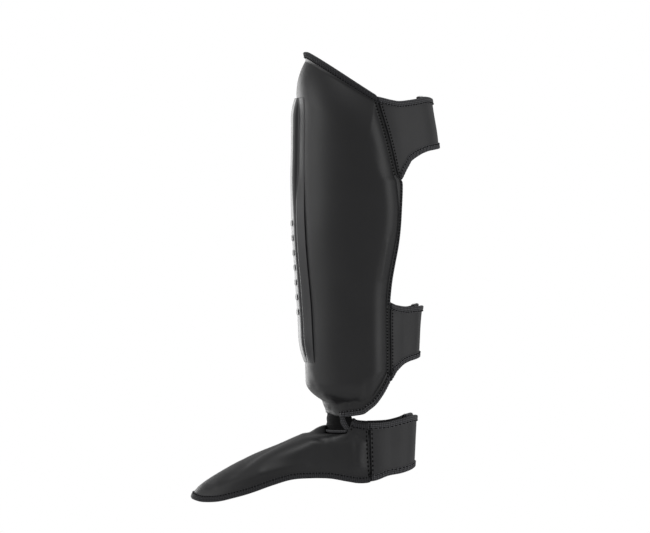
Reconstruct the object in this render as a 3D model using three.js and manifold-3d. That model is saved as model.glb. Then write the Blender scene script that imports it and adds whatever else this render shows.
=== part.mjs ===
// Shin and instep guard for kick boxing, shown strapped as it is worn.
// Millimetres. +Z points up the leg, the toes point to -Y and the wearer's left is +X.
// The origin is the centre of the ankle, where the leg leaves the instep guard.
import * as THREE from "three";
import Module from "manifold-3d";
import { mergeVertices } from "three/addons/utils/BufferGeometryUtils.js";

const wasm = await Module();
wasm.setup();

// The leg that the guard closes round
const shinHeight = 385; // ankle centre to the shell's top front
const calfFront = 60; // leg axis to the shin at the calf
const calfRear = 61.5; // leg axis to the back of the calf
const calfHalf = 56; // half the width of the calf

// Padded shin shell
const frontPad = 19.5; // foam and cover over the shin bone
const sidePad = 14; // foam and cover beside the calf
const edgeThickness = 4; // where the covers are sewn together
const flangeWidth = 7.5; // flat sewn margin under a binding
const flapHeight = 13; // unpadded hem at the bottom front
const rearRoll = 13; // width over which the foam fades out to the rear edge
const topRoll = 40; // heights over which the foam fades out to the top and bottom edges
const bottomRoll = 20;
const topDrop = 0.1247 * shinHeight; // fall of the top edge from the shin to the seam
const hemHeight = 4.6; // lowest point of the bottom edge above the ankle centre
const heelCut = 0.1143 * shinHeight; // rise of the bottom edge from there to its rear corner

// Raised ridge down the shin
const ridgeHeight = 6;
const ridgeHalf = 33; // half width, measured over the curve
const ridgeBottom = 0.1584 * shinHeight;
const ridgeTop = 0.8766 * shinHeight;
const barCount = 7;
const barPitch = 15.5;
const barSize = { width: 27, height: 6, relief: 0.9 };
const barMiddle = 0.4156 * shinHeight; // height of the middle moulded bar

// Straps, bindings and gaps
const gap = 0.3;
const strapThickness = 2.4;
const tapeThickness = 0.8;
const tapeWidth = 6.5;
const steepest = 0.45; // least slant of an edge that the tape still follows squarely
const tapeStop = 0.985; // where a binding stops short of a seam, as a share of the way to it
const hemBindingFrom = 0.48; // where the bottom edge's bindings start, as a share of the wrap
const hemBindingTo = 0.962;
const patchThickness = 1.2;
const strapEnd = 1.375; // how far a strap end reaches, 0 at its seam and 1 at the back of the leg
const strapTurns = [0, 0.12, 0.26, 0.4, 0.5, 0.625, 0.8, 1, 1.2, strapEnd];
const tabLift = 2.2; // how much higher the tab sits than the long end

// Instep guard and its ankle link
const footReach = 189.4; // ankle centre to the toe tip
const footHalf = 50.5;
const instepDrop = 83.5; // ankle centre down to the lowest edge
const instepPad = 11;
const instepRoll = 15;
const upperStrap = { middle: 0.8078 * shinHeight, height: 0.1351 * shinHeight };
const lowerStrap = { middle: 0.2416 * shinHeight, height: 0.1377 * shinHeight };
const heelStrap = { middle: -0.3054 * instepDrop, height: 0.6228 * instepDrop };
const collarHeight = -13.2; // instep edge in front of the ankle
const collarRise = 9.4; // rise of that edge from there to the heel seam
const collarBindingFrom = 0.8; // where the collar's bindings start, as a share of the way to the heel seam
const pipingRadius = 1.9;
const weltLift = 2.6; // middle of the rolled seam above the instep edge
const weltHalf = 62; // degrees that it reaches round each side
const linkThickness = 2.6;
const linkBottom = -15;
const linkTop = 23;
const heelSeam = { top: 92.2, bottom: 98.5 }; // degrees round from the shin

// Leg sections. at is a share of shinHeight; front, rear and half are shares of the calf sizes.
const legRows = [
  { at: -0.16, front: 0.82, rear: 0.565, half: 0.643 },
  { at: -0.026, front: 0.815, rear: 0.612, half: 0.679 },
  { at: 0, front: 0.802, rear: 0.617, half: 0.688 },
  { at: 0.023, front: 0.798, rear: 0.622, half: 0.705 },
  { at: 0.042, front: 0.803, rear: 0.627, half: 0.723 },
  { at: 0.06, front: 0.818, rear: 0.632, half: 0.738 },
  { at: 0.104, front: 0.833, rear: 0.64, half: 0.759 },
  { at: 0.177, front: 0.85, rear: 0.659, half: 0.786 },
  { at: 0.291, front: 0.883, rear: 0.704, half: 0.83 },
  { at: 0.39, front: 0.922, rear: 0.792, half: 0.893 },
  { at: 0.52, front: 0.975, rear: 0.936, half: 0.973 },
  { at: 0.65, front: 0.997, rear: 1, half: 1 },
  { at: 0.756, front: 0.992, rear: 0.987, half: 1 },
  { at: 0.865, front: 0.992, rear: 0.886, half: 1 },
  { at: 0.935, front: 1.042, rear: 0.83, half: 1.009 },
  { at: 1, front: 1.118, rear: 0.8, half: 1.027 },
];

// How far round the leg the shell reaches on each side, in degrees from the shin
const wrapRows = [
  { at: 0, wrap: 119.5 },
  { at: 0.156, wrap: 119 },
  { at: 0.312, wrap: 116 },
  { at: 0.374, wrap: 116 },
  { at: 0.423, wrap: 117.3 },
  { at: 0.47, wrap: 118.6 },
  { at: 0.52, wrap: 119 },
  { at: 0.577, wrap: 118.8 },
  { at: 0.636, wrap: 116.3 },
  { at: 0.66, wrap: 112.2 },
  { at: 0.7, wrap: 109.4 },
  { at: 0.787, wrap: 103.3 },
  { at: 0.875, wrap: 97.3 },
  { at: 1, wrap: 95.5 },
];

// Bottom edge of the shell: round is the share of the wrap, rise a share of heelCut
const hemRows = [
  { round: 0, rise: 0.08 },
  { round: 0.2, rise: 0.07 },
  { round: 0.4, rise: 0.01 },
  { round: 0.55, rise: 0.04 },
  { round: 0.65, rise: 0.07 },
  { round: 0.71, rise: 0.1 },
  { round: 0.76, rise: 0.18 },
  { round: 0.83, rise: 0.31 },
  { round: 0.9, rise: 0.54 },
  { round: 0.966, rise: 0.8 },
  { round: 1, rise: 1 },
];

// Strap edges. turn is 0 at the seam and 1 at the back of the leg.
// top and bottom are shares of the strap's height.
const upperStrapRows = [
  { turn: 0, top: 0.486, bottom: -1.115 },
  { turn: 0.09, top: 0.45, bottom: -1.04 },
  { turn: 0.17, top: 0.42, bottom: -0.9 },
  { turn: 0.28, top: 0.4, bottom: -0.72 },
  { turn: 0.52, top: 0.45, bottom: -0.56 },
  { turn: 0.7, top: 0.5, bottom: -0.51 },
  { turn: 1, top: 0.48, bottom: -0.477 },
  { turn: 1.34, top: 0.46, bottom: -0.46 },
];
const lowerStrapRows = [
  { turn: 0, top: 0.557, bottom: -0.774 },
  { turn: 0.09, top: 0.515, bottom: -0.698 },
  { turn: 0.2, top: 0.478, bottom: -0.6 },
  { turn: 0.28, top: 0.46, bottom: -0.56 },
  { turn: 0.5, top: 0.478, bottom: -0.52 },
  { turn: 1, top: 0.49, bottom: -0.481 },
  { turn: 1.34, top: 0.47, bottom: -0.46 },
];
const heelStrapRows = [
  { turn: 0, top: 0.427, bottom: -0.665 },
  { turn: 0.1, top: 0.43, bottom: -0.65 },
  { turn: 0.29, top: 0.45, bottom: -0.583 },
  { turn: 0.5, top: 0.51, bottom: -0.54 },
  { turn: 0.68, top: 0.56, bottom: -0.488 },
  { turn: 1, top: 0.57, bottom: -0.42 },
  { turn: 1.34, top: 0.55, bottom: -0.4 },
];

// Instep guard from the toe tip (round 0) to the heel seam (round 1). side, reach and drop place its
// bottom edge as shares of footHalf, footReach and instepDrop. rise is the height of the side wall before
// it turns over, and brow and fall say how far the surface runs out and down from the ankle before it
// turns; all three in shares.
const instepRows = [
  { round: 0, side: 0, reach: 1, drop: 0.958, rise: 0.24, lean: 0.024, brow: 0.22, fall: 0 },
  { round: 0.04, side: 0.24, reach: 0.99, drop: 0.976, rise: 0.25, lean: 0.02, brow: 0.23, fall: 0 },
  { round: 0.09, side: 0.475, reach: 0.943, drop: 0.999, rise: 0.28, lean: 0.01, brow: 0.26, fall: 0 },
  { round: 0.15, side: 0.69, reach: 0.858, drop: 0.99, rise: 0.32, lean: 0, brow: 0.3, fall: 0 },
  { round: 0.22, side: 0.84, reach: 0.771, drop: 0.943, rise: 0.36, lean: 0, brow: 0.36, fall: 0 },
  { round: 0.3, side: 0.95, reach: 0.671, drop: 0.877, rise: 0.38, lean: 0, brow: 0.42, fall: 0.01 },
  { round: 0.4, side: 1, reach: 0.549, drop: 0.778, rise: 0.36, lean: 0, brow: 0.46, fall: 0.03 },
  { round: 0.5, side: 0.99, reach: 0.443, drop: 0.709, rise: 0.34, lean: 0, brow: 0.47, fall: 0.06 },
  { round: 0.6, side: 0.94, reach: 0.338, drop: 0.692, rise: 0.3, lean: 0, brow: 0.46, fall: 0.11 },
  { round: 0.7, side: 0.88, reach: 0.232, drop: 0.697, rise: 0.26, lean: 0, brow: 0.42, fall: 0.17 },
  { round: 0.8, side: 0.838, reach: 0.137, drop: 0.735, rise: 0.24, lean: 0, brow: 0.36, fall: 0.22 },
  { round: 0.88, side: 0.818, reach: 0.074, drop: 0.757, rise: 0.23, lean: 0, brow: 0.34, fall: 0.23 },
  { round: 0.94, side: 0.8, reach: 0.03, drop: 0.75, rise: 0.23, lean: 0, brow: 0.33, fall: 0.23 },
  { round: 1, side: 0.788, reach: -0.008, drop: 0.72, rise: 0.23, lean: 0, brow: 0.33, fall: 0.23 },
];

// Collar edge: turn in degrees from the shin, rise a share of collarRise
const collarRows = [
  { turn: 0, rise: 0 },
  { turn: 62, rise: 0 },
  { turn: 66, rise: 0.3 },
  { turn: 69.2, rise: 1.25 },
  { turn: 72, rise: 1.42 },
  { turn: 82, rise: 1.22 },
  { turn: 92, rise: 1 },
];

// Half width of the ankle link in degrees, from its bottom (up 0) to its top (up 1)
const linkRows = [
  { up: 0, half: 63 },
  { up: 0.15, half: 64 },
  { up: 0.42, half: 62 },
  { up: 0.7, half: 57 },
  { up: 1, half: 54 },
];

// Height of the ridge across its half width, and of its side ribs, as shares of ridgeHalf and ridgeHeight
const ridgeRows = [
  { across: 0, bar: 1, rib: 0 },
  { across: 0.24, bar: 1, rib: 0 },
  { across: 0.46, bar: 0.92, rib: 0 },
  { across: 0.55, bar: 0.66, rib: 0 },
  { across: 0.59, bar: 0.24, rib: 0 },
  { across: 0.65, bar: 0.22, rib: 0.3 },
  { across: 0.78, bar: 0.22, rib: 0.46 },
  { across: 0.92, bar: 0.2, rib: 0.36 },
  { across: 1, bar: 0.14, rib: 0.02 },
];

const { degToRad, radToDeg, clamp, lerp } = THREE.MathUtils;

// Smooth curve through one column of a table, read at a place along another column.
function readTable(rows, along, column, place) {
  const last = rows.length - 1;
  const at = clamp(place, rows[0][along], rows[last][along]);
  let i = 0;
  while (i < last - 1 && at > rows[i + 1][along]) i++;
  const slope = (k) => {
    const before = rows[Math.max(k - 1, 0)];
    const after = rows[Math.min(k + 1, last)];
    return (after[column] - before[column]) / (after[along] - before[along]);
  };
  const span = rows[i + 1][along] - rows[i][along];
  const t = (at - rows[i][along]) / span;
  const bend = (t - 1) * (t - 1) * t * span * slope(i) + (t - 1) * t * t * span * slope(i + 1);
  return lerp(rows[i][column], rows[i + 1][column], t * t * (3 - 2 * t)) + bend;
}

// Centre and half sizes of the leg's oval section at a height.
function legSection(z) {
  const at = z / shinHeight;
  const front = calfFront * readTable(legRows, "at", "front", at);
  const rear = calfRear * readTable(legRows, "at", "rear", at);
  const half = calfHalf * readTable(legRows, "at", "half", at);
  return { centre: (rear - front) / 2, depth: (rear + front) / 2, half };
}

// Point at an angle round the leg (degrees from the shin, + to the left), a height and a distance off
// the skin.
function legPoint(angle, z, offset) {
  const { centre, depth, half } = legSection(z);
  const turn = degToRad(angle);
  return new THREE.Vector3((half + offset) * Math.sin(turn), centre - (depth + offset) * Math.cos(turn), z);
}

// Millimetres of arc to one degree round the leg at a height.
function arcPerDegree(z) {
  const { depth, half } = legSection(z);
  return degToRad((depth + half) / 2 + edgeThickness);
}

const wrapAt = (z) => readTable(wrapRows, "at", "wrap", z / shinHeight);
const hemAt = (round) => hemHeight + heelCut * readTable(hemRows, "round", "rise", round);

// The top edge lies in one slanting plane, so it falls with the distance back from the shin.
function crownAt(round) {
  const reach = degToRad(wrapAt(shinHeight - topDrop));
  return shinHeight - topDrop * ((1 - Math.cos(round * reach)) / (1 - Math.cos(reach)));
}

// 0 on the sewn margin, rising in a parabola to 1 where the foam has its full thickness.
function foamShare(distance, margin, roll) {
  const x = clamp((distance - margin) / roll, 0, 1);
  return 1 - (1 - x) * (1 - x);
}

// How much an edge that climbs steeply narrows a distance measured straight up from it.
function steepness(edge, round, z) {
  const step = 0.02;
  const climb = (edge(Math.min(round + step, 1)) - edge(Math.max(round - step, 0))) / (2 * step);
  return 1 / Math.hypot(1, climb / (wrapAt(z) * arcPerDegree(z)));
}

// Thickness of the shell at an angle and height.
function shellThickness(angle, z) {
  const wrap = wrapAt(z);
  const round = clamp(Math.abs(angle) / wrap, 0, 1);
  const facing = Math.max(Math.cos(degToRad(angle)), 0);
  const full = lerp(sidePad, frontPad, facing * facing);
  const hem = hemAt(round);
  const crown = crownAt(round);
  const flap = lerp(flapHeight, flangeWidth, THREE.MathUtils.smoothstep(round, 0.6, 0.8));
  const share = Math.min(
    foamShare((wrap - Math.abs(angle)) * arcPerDegree(z), flangeWidth, rearRoll),
    foamShare((crown - z) * steepness(crownAt, round, z), flangeWidth, topRoll),
    foamShare((z - hem) * steepness(hemAt, round, z), flap, bottomRoll),
  );
  return edgeThickness + (full - edgeThickness) * share;
}

// Closed body from points and triangles, turned to face outwards.
function closedBody(points, faces) {
  let volume = 0;
  for (const [a, b, c] of faces) {
    volume += points[a].dot(new THREE.Vector3().crossVectors(points[b], points[c]));
  }
  const index = faces.flatMap(([a, b, c]) => (volume < 0 ? [a, c, b] : [a, b, c]));
  const geometry = new THREE.BufferGeometry();
  geometry.setAttribute("position", new THREE.Float32BufferAttribute(points.flatMap((p) => p.toArray()), 3));
  geometry.setIndex(index);
  geometry.computeVertexNormals();
  return geometry;
}

// Turns a closed geometry into a manifold-3d solid.
function solidOf(geometry) {
  const bare = new THREE.BufferGeometry();
  bare.setAttribute("position", geometry.getAttribute("position"));
  bare.setIndex(geometry.index);
  const merged = mergeVertices(bare, 1e-4);
  const vertProperties = new Float32Array(merged.getAttribute("position").array);
  const triVerts = new Uint32Array(merged.index.array);
  return new wasm.Manifold(new wasm.Mesh({ numProp: 3, vertProperties, triVerts }));
}

function geometryOf(solid) {
  const { vertProperties, triVerts } = solid.getMesh();
  const geometry = new THREE.BufferGeometry();
  geometry.setAttribute("position", new THREE.BufferAttribute(new Float32Array(vertProperties), 3));
  geometry.setIndex(new THREE.BufferAttribute(new Uint32Array(triVerts), 1));
  geometry.computeVertexNormals();
  return geometry;
}

// A sheet: two skins of points over one grid, skin 0 inside and 1 outside.
function makeSheet(columns, rows, point) {
  const skins = [0, 1].map((skin) => rows.map((row) => columns.map((column) => point(column, row, skin))));
  return { columns, rows, skins };
}

function sheetBody({ columns, rows, skins }) {
  const wide = columns.length;
  const high = rows.length;
  const at = (i, j, skin) => (skin * high + j) * wide + i;
  const faces = [];
  const quad = (a, b, c, d) => faces.push([a, b, c], [a, c, d]);
  for (let j = 0; j < high - 1; j++) {
    for (let i = 0; i < wide - 1; i++) {
      const turned = columns[i] + columns[i + 1] < 0 ? 1 : 0;
      const ring = [[i, j], [i + 1, j], [i + 1, j + 1], [i, j + 1]];
      const corner = (k, skin) => at(...ring[(k + turned) % 4], skin);
      quad(corner(0, 1), corner(1, 1), corner(2, 1), corner(3, 1));
      quad(corner(0, 0), corner(3, 0), corner(2, 0), corner(1, 0));
    }
    quad(at(0, j, 0), at(0, j, 1), at(0, j + 1, 1), at(0, j + 1, 0));
    quad(at(wide - 1, j, 1), at(wide - 1, j, 0), at(wide - 1, j + 1, 0), at(wide - 1, j + 1, 1));
  }
  for (let i = 0; i < wide - 1; i++) {
    quad(at(i, 0, 0), at(i + 1, 0, 0), at(i + 1, 0, 1), at(i, 0, 1));
    quad(at(i, high - 1, 1), at(i + 1, high - 1, 1), at(i + 1, high - 1, 0), at(i, high - 1, 0));
  }
  return closedBody(skins.flat(2), faces);
}

// The same sheet grown by a clearance on both faces and round its rim.
function grownSheet({ columns, rows, skins }, by) {
  const last = { i: columns.length - 1, j: rows.length - 1 };
  const moved = [0, 1].map((skin) =>
    rows.map((_, j) =>
      columns.map((_, i) => {
        const p = skins[skin][j][i];
        const q = p.clone();
        const pushFrom = (from) => q.add(p.clone().sub(from).setLength(by));
        pushFrom(skins[1 - skin][j][i]);
        if (i === 0) pushFrom(skins[skin][j][1]);
        if (i === last.i) pushFrom(skins[skin][j][i - 1]);
        if (j === 0) pushFrom(skins[skin][1][i]);
        if (j === last.j) pushFrom(skins[skin][j - 1][i]);
        return q;
      }),
    ),
  );
  return { columns, rows, skins: moved };
}

// Point of a sheet's skin between its grid lines.
function readSheet({ columns, rows, skins }, column, row, skin) {
  const find = (list, value) => {
    let i = 0;
    while (i < list.length - 2 && value > list[i + 1]) i++;
    return [i, (value - list[i]) / (list[i + 1] - list[i])];
  };
  const [i, s] = find(columns, column);
  const [j, t] = find(rows, row);
  const line = (k) => skins[skin][k][i].clone().lerp(skins[skin][k][i + 1], s);
  return line(j).lerp(line(j + 1), t);
}

// A binding folded over a sheet's rim. path holds [column, row] places on the rim and inward the way from it
// into the sheet. The tape is a bar round the rim, with the sheet and its clearance cut out of it.
function tapeOn(sheet, path, inward) {
  const wall = gap + tapeThickness;
  const step = 0.01;
  const into = ([column, row], share) => [column + inward[0] * share, row + inward[1] * share];
  const sections = path.map((here, k) => {
    const behind = path[Math.max(k - 1, 0)];
    const ahead = path[Math.min(k + 1, path.length - 1)];
    const along = readSheet(sheet, ...ahead, 1).sub(readSheet(sheet, ...behind, 1)).normalize();
    const way = readSheet(sheet, ...into(here, step), 1).sub(readSheet(sheet, ...here, 1)).divideScalar(step);
    const square = way.clone().addScaledVector(along, -way.dot(along));
    const tip = into(here, tapeWidth / Math.max(square.length(), way.length() * steepest));
    const outward = square.normalize().negate();
    const pair = (place) => {
      const [inner, outer] = [0, 1].map((skin) => readSheet(sheet, ...place, skin));
      const normal = outer.clone().sub(inner).setLength(wall);
      return [inner.sub(normal), outer.add(normal)];
    };
    const [rimIn, rimOut] = pair(here).map((p) => p.addScaledVector(outward, wall));
    const [tipIn, tipOut] = pair(tip);
    return [rimOut, rimIn, tipIn, tipOut];
  });
  const sides = 4;
  const faces = [];
  for (let k = 0; k < sections.length - 1; k++) {
    const turned = path[k][0] + path[k + 1][0] < 0;
    for (let s = 0; s < sides; s++) {
      const a = k * sides + s;
      const b = k * sides + ((s + 1) % sides);
      if (turned) faces.push([a, b, a + sides], [b, b + sides, a + sides]);
      else faces.push([a, b, b + sides], [a, b + sides, a + sides]);
    }
  }
  const end = (sections.length - 1) * sides;
  faces.push([0, 2, 1], [0, 3, 2], [end, end + 1, end + 2], [end, end + 2, end + 3]);
  const bar = solidOf(closedBody(sections.flat(), faces));
  const cut = bar.subtract(solidOf(sheetBody(grownSheet(sheet, gap))));
  const bodies = cut.decompose().sort((a, b) => b.volume() - a.volume());
  return geometryOf(bodies[0]);
}

const steps = (count, from = 0, to = 1) =>
  Array.from({ length: count + 1 }, (_, k) => lerp(from, to, k / count));
const mirrored = (shares) => [...shares.slice(1).reverse().map((s) => -s), ...shares];

const materials = {
  leather: new THREE.MeshStandardMaterial({ color: 0x2b2b2c, roughness: 0.45, metalness: 0 }),
  ridge: new THREE.MeshStandardMaterial({ color: 0x2e2e30, roughness: 0.4, metalness: 0 }),
  strap: new THREE.MeshStandardMaterial({ color: 0x3a3a3c, roughness: 0.6, metalness: 0 }),
  tape: new THREE.MeshStandardMaterial({ color: 0x262525, roughness: 0.75, metalness: 0 }),
  patch: new THREE.MeshStandardMaterial({ color: 0x1c1c1d, roughness: 0.95, metalness: 0 }),
  stretch: new THREE.MeshStandardMaterial({ color: 0x232324, roughness: 0.8, metalness: 0 }),
};

const guard = new THREE.Group();
function addPiece(name, geometry, material) {
  const mesh = new THREE.Mesh(geometry, material);
  mesh.name = name;
  guard.add(mesh);
}

// Shin shell: foam between two covers, open behind
const shellColumns = mirrored([0, 0.16, 0.32, 0.48, 0.6, 0.7, 0.78, 0.84, 0.89, 0.945, 1]);
const shellRows = [
  0, 0.022, 0.05, 0.075, 0.105, 0.16, 0.26, 0.38, 0.5,
  0.62, 0.72, 0.81, 0.88, 0.925, 0.955, 0.976, 1,
];
const shell = makeSheet(shellColumns, shellRows, (column, row, skin) => {
  const round = Math.abs(column);
  const z = lerp(hemAt(round), crownAt(round), row);
  const angle = column * wrapAt(z);
  return legPoint(angle, z, skin * shellThickness(angle, z));
});
addPiece("shin_shell", sheetBody(shell), materials.leather);

// Height of the ridge over the shell, at a share across and a share up
function ridgeRelief(across, up) {
  const share = Math.abs(across);
  const fromTop = (1 - up) * (ridgeTop - ridgeBottom);
  const fromBottom = up * (ridgeTop - ridgeBottom);
  const ends = Math.min(foamShare(fromTop, -6, 26), foamShare(fromBottom, -3, 24));
  const ribs = THREE.MathUtils.smoothstep(1 - up, 0.22, 0.75);
  const bar = readTable(ridgeRows, "across", "bar", share);
  const rib = readTable(ridgeRows, "across", "rib", share) * ribs;
  return ridgeHeight * (bar + rib) * ends;
}

// Place on or above the ridge: across and up are shares, lift is the height over the shell's cover
function ridgePlace(across, up, lift) {
  const z = lerp(ridgeBottom, ridgeTop, up);
  const { half } = legSection(z);
  const angle = radToDeg((across * ridgeHalf) / (half + frontPad));
  return legPoint(angle, z, shellThickness(angle, z) + gap + lift);
}

// Ridge with a row of plain moulded cross bars joined to it
function addRidge() {
  const columns = mirrored([0, 0.24, 0.46, 0.55, 0.59, 0.65, 0.78, 0.92, 1]);
  const rows = [0, 0.02, 0.05, 0.09, 0.18, 0.3, 0.42, 0.54, 0.66, 0.78, 0.88, 0.93, 0.965, 1];
  const place = (across, up, skin) => ridgePlace(across, up, skin * ridgeRelief(across, up));
  let ridge = solidOf(sheetBody(makeSheet(columns, rows, place)));
  const length = ridgeTop - ridgeBottom;
  const half = barSize.width / 2 / ridgeHalf;
  const sunk = barSize.relief / 2;
  for (let k = 0; k < barCount; k++) {
    const middle = (barMiddle + (k - (barCount - 1) / 2) * barPitch - ridgeBottom) / length;
    const reach = barSize.height / 2 / length;
    const bar = makeSheet(steps(4, -half, half), [middle - reach, middle + reach], (across, up, skin) =>
      ridgePlace(across, up, ridgeRelief(across, up) + (skin ? barSize.relief : -sunk)),
    );
    ridge = ridge.add(solidOf(sheetBody(bar)));
  }
  addPiece("shin_ridge", geometryOf(ridge), materials.ridge);
}

// Bindings of the shell: over the top, and down each rear edge and along each lower edge
function addShellBindings() {
  const over = shellColumns.map((column) => [clamp(column, -tapeStop, tapeStop), 1]);
  addPiece("top_binding", tapeOn(shell, over, [0, -1]), materials.tape);
  const clear = 3 * gap + 2 * tapeThickness;
  const low = strapEdge(lowerStrap, lowerStrapRows, "top", 0) + clear;
  const high = strapEdge(upperStrap, upperStrapRows, "bottom", 0) - clear;
  const share = (z) => (z - hemAt(1)) / (crownAt(1) - hemAt(1));
  const between = shellRows.filter((row) => row > share(low) + 0.01 && row < share(high) - 0.01);
  for (const [name, side] of [["left", 1], ["right", -1]]) {
    const rear = [share(low), ...between, share(high)].map((row) => [side, row]);
    addPiece("rear_binding_" + name, tapeOn(shell, rear, [-side, 0]), materials.tape);
    const hem = shellColumns.filter((column) => column * side >= hemBindingFrom);
    const hemPath = hem.map((column) => [clamp(column, -hemBindingTo, hemBindingTo), 0]);
    addPiece("hem_binding_" + name, tapeOn(shell, hemPath, [0, 1]), materials.tape);
  }
}

// Height of a strap's top or bottom edge at a turn
function strapEdge(strap, rows, edge, turn) {
  return strap.middle + strap.height * readTable(rows, "turn", edge, turn);
}

// A strap closes behind the leg: the long end passes over the tab of the other side, with the loop patch
// between.
const tabFloor = 1.5 * gap + tapeThickness;
const tabTop = tabFloor + strapThickness;
const overFloor = tabTop + 3 * gap + patchThickness + tapeThickness;

// Offset of the long end's inner face: close to the leg beside the seam, over the tab at the back
const longFloor = (turn) => lerp(tabFloor, overFloor, THREE.MathUtils.smoothstep(turn, 0.3, 0.7));

function addStrap(name, strap, rows, seamAt) {
  const angleAt = (turn, z) => lerp(seamAt(z) + gap / arcPerDegree(z), 180, turn);
  const make = (turns, shares, side, margin, rise, floor, thickness) =>
    makeSheet(turns, shares, (turn, share, skin) => {
      const low = strapEdge(strap, rows, "bottom", turn) + rise(turn) + margin;
      const high = strapEdge(strap, rows, "top", turn) + rise(turn) - margin;
      const z = lerp(low, high, share);
      return legPoint(side * angleAt(turn, z), z, floor(turn) + skin * thickness);
    });
  const addEnd = (piece, turns, side, rise, floor) => {
    const sheet = make(turns, steps(3), side, 0, rise, floor, strapThickness);
    addPiece(piece, sheetBody(sheet), materials.strap);
    const top = turns.map((turn) => [turn, 1]);
    const bottom = turns.map((turn) => [turn, 0]);
    addPiece(piece + "_top_binding", tapeOn(sheet, top, [0, -1]), materials.tape);
    addPiece(piece + "_bottom_binding", tapeOn(sheet, bottom, [0, 1]), materials.tape);
  };
  const tabRise = (turn) => tabLift * THREE.MathUtils.smoothstep(turn, 0.5, 1);
  addEnd(name, strapTurns, 1, () => 0, longFloor);
  addEnd(name + "_tab", strapTurns, -1, tabRise, () => tabFloor);
  const patchTurns = strapTurns.slice(strapTurns.indexOf(2 - strapEnd) + 1, -1);
  const patchOff = () => tabTop + gap;
  const patch = make(patchTurns, steps(2), -1, tapeWidth + 2 * gap, tabRise, patchOff, patchThickness);
  addPiece(name + "_loop_patch", sheetBody(patch), materials.patch);
}

// Edge of the instep guard round the ankle: low in front, where the link joins it, and high beside the ankle
const collarAt = (angle) =>
  collarHeight + collarRise * readTable(collarRows, "turn", "rise", Math.abs(angle));
const heelSeamAt = (z) => lerp(heelSeam.bottom, heelSeam.top, (z + instepDrop) / instepDrop);
const skinOffset = edgeThickness + gap;

// Outer skin of the instep guard: round from toe tip to heel seam, up from the bottom edge to the collar
function instepSkin(round, up) {
  const side = Math.sign(round) || 1;
  const share = Math.abs(round);
  const row = (column) => readTable(instepRows, "round", column, share);
  const edge = new THREE.Vector3(
    row("side") * footHalf,
    -row("reach") * footReach,
    -row("drop") * instepDrop,
  );
  const angle = share * heelSeamAt(collarHeight + collarRise);
  const collar = legPoint(angle, collarAt(angle), skinOffset);
  const across = new THREE.Vector3().subVectors(collar, edge).setZ(0);
  const wall = edge.clone().addScaledVector(across, row("lean"));
  wall.z += row("rise") * instepDrop;
  const brow = collar.clone().addScaledVector(across, -row("brow"));
  brow.z -= row("fall") * instepDrop;
  const point = new THREE.CubicBezierCurve3(edge, wall, brow, collar).getPoint(up);
  const seam = legPoint(heelSeamAt(point.z) - (2 * gap) / arcPerDegree(point.z), point.z, skinOffset);
  point.lerp(seam, THREE.MathUtils.smoothstep(share, 0.88, 1));
  point.x *= side;
  return point;
}

// Place off the instep skin, square to it.
function instepPlace(round, up, offset) {
  const step = 0.004;
  const p = instepSkin(round, up);
  const along = instepSkin(Math.min(round + step, 1), up).sub(instepSkin(Math.max(round - step, -1), up));
  const climb = instepSkin(round, Math.min(up + step, 1)).sub(instepSkin(round, Math.max(up - step, 0)));
  const seam = degToRad(heelSeamAt(p.z)) * (Math.sign(round) || 1);
  const radial = new THREE.Vector3(Math.sin(seam), -Math.cos(seam), 0);
  const normal = along.cross(climb).normalize();
  normal.lerp(radial, THREE.MathUtils.smoothstep(Math.abs(round), 0.86, 0.97)).normalize();
  return p.addScaledVector(normal, offset);
}

function instepThickness(round, up) {
  const length = (a, b) => instepSkin(round, a).distanceTo(instepSkin(round, b));
  const seam = (1 - Math.abs(round)) * footReach;
  const share = Math.min(
    foamShare(length(0, up), flangeWidth, instepRoll),
    foamShare(length(up, 1), flangeWidth, instepRoll),
    foamShare(seam, flangeWidth, instepRoll),
  );
  return edgeThickness + (instepPad - edgeThickness) * share;
}

function addInstep() {
  const half = [0, 0.04, 0.08, 0.12, 0.165, 0.22, 0.3, 0.4, 0.5, 0.6, 0.69, 0.75, 0.81, 0.87, 0.93, 1];
  const columns = mirrored(half);
  const rows = [0, 0.09, 0.18, 0.28, 0.4, 0.52, 0.64, 0.76, 0.88, 1];
  const foot = makeSheet(columns, rows, (round, up, skin) =>
    instepPlace(round, up, skin ? 0 : -instepThickness(round, up)),
  );
  addPiece("instep_guard", sheetBody(foot), materials.leather);
  const low = columns.map((column) => [clamp(column, -tapeStop, tapeStop), 0]);
  addPiece("instep_binding", tapeOn(foot, low, [0, 1]), materials.tape);
  for (const [name, side] of [["left", 1], ["right", -1]]) {
    const collar = columns.filter((column) => column * side >= collarBindingFrom);
    const path = collar.map((column) => [clamp(column, -tapeStop, tapeStop), 1]);
    addPiece("collar_binding_" + name, tapeOn(foot, path, [0, -1]), materials.tape);
  }
}

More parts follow.
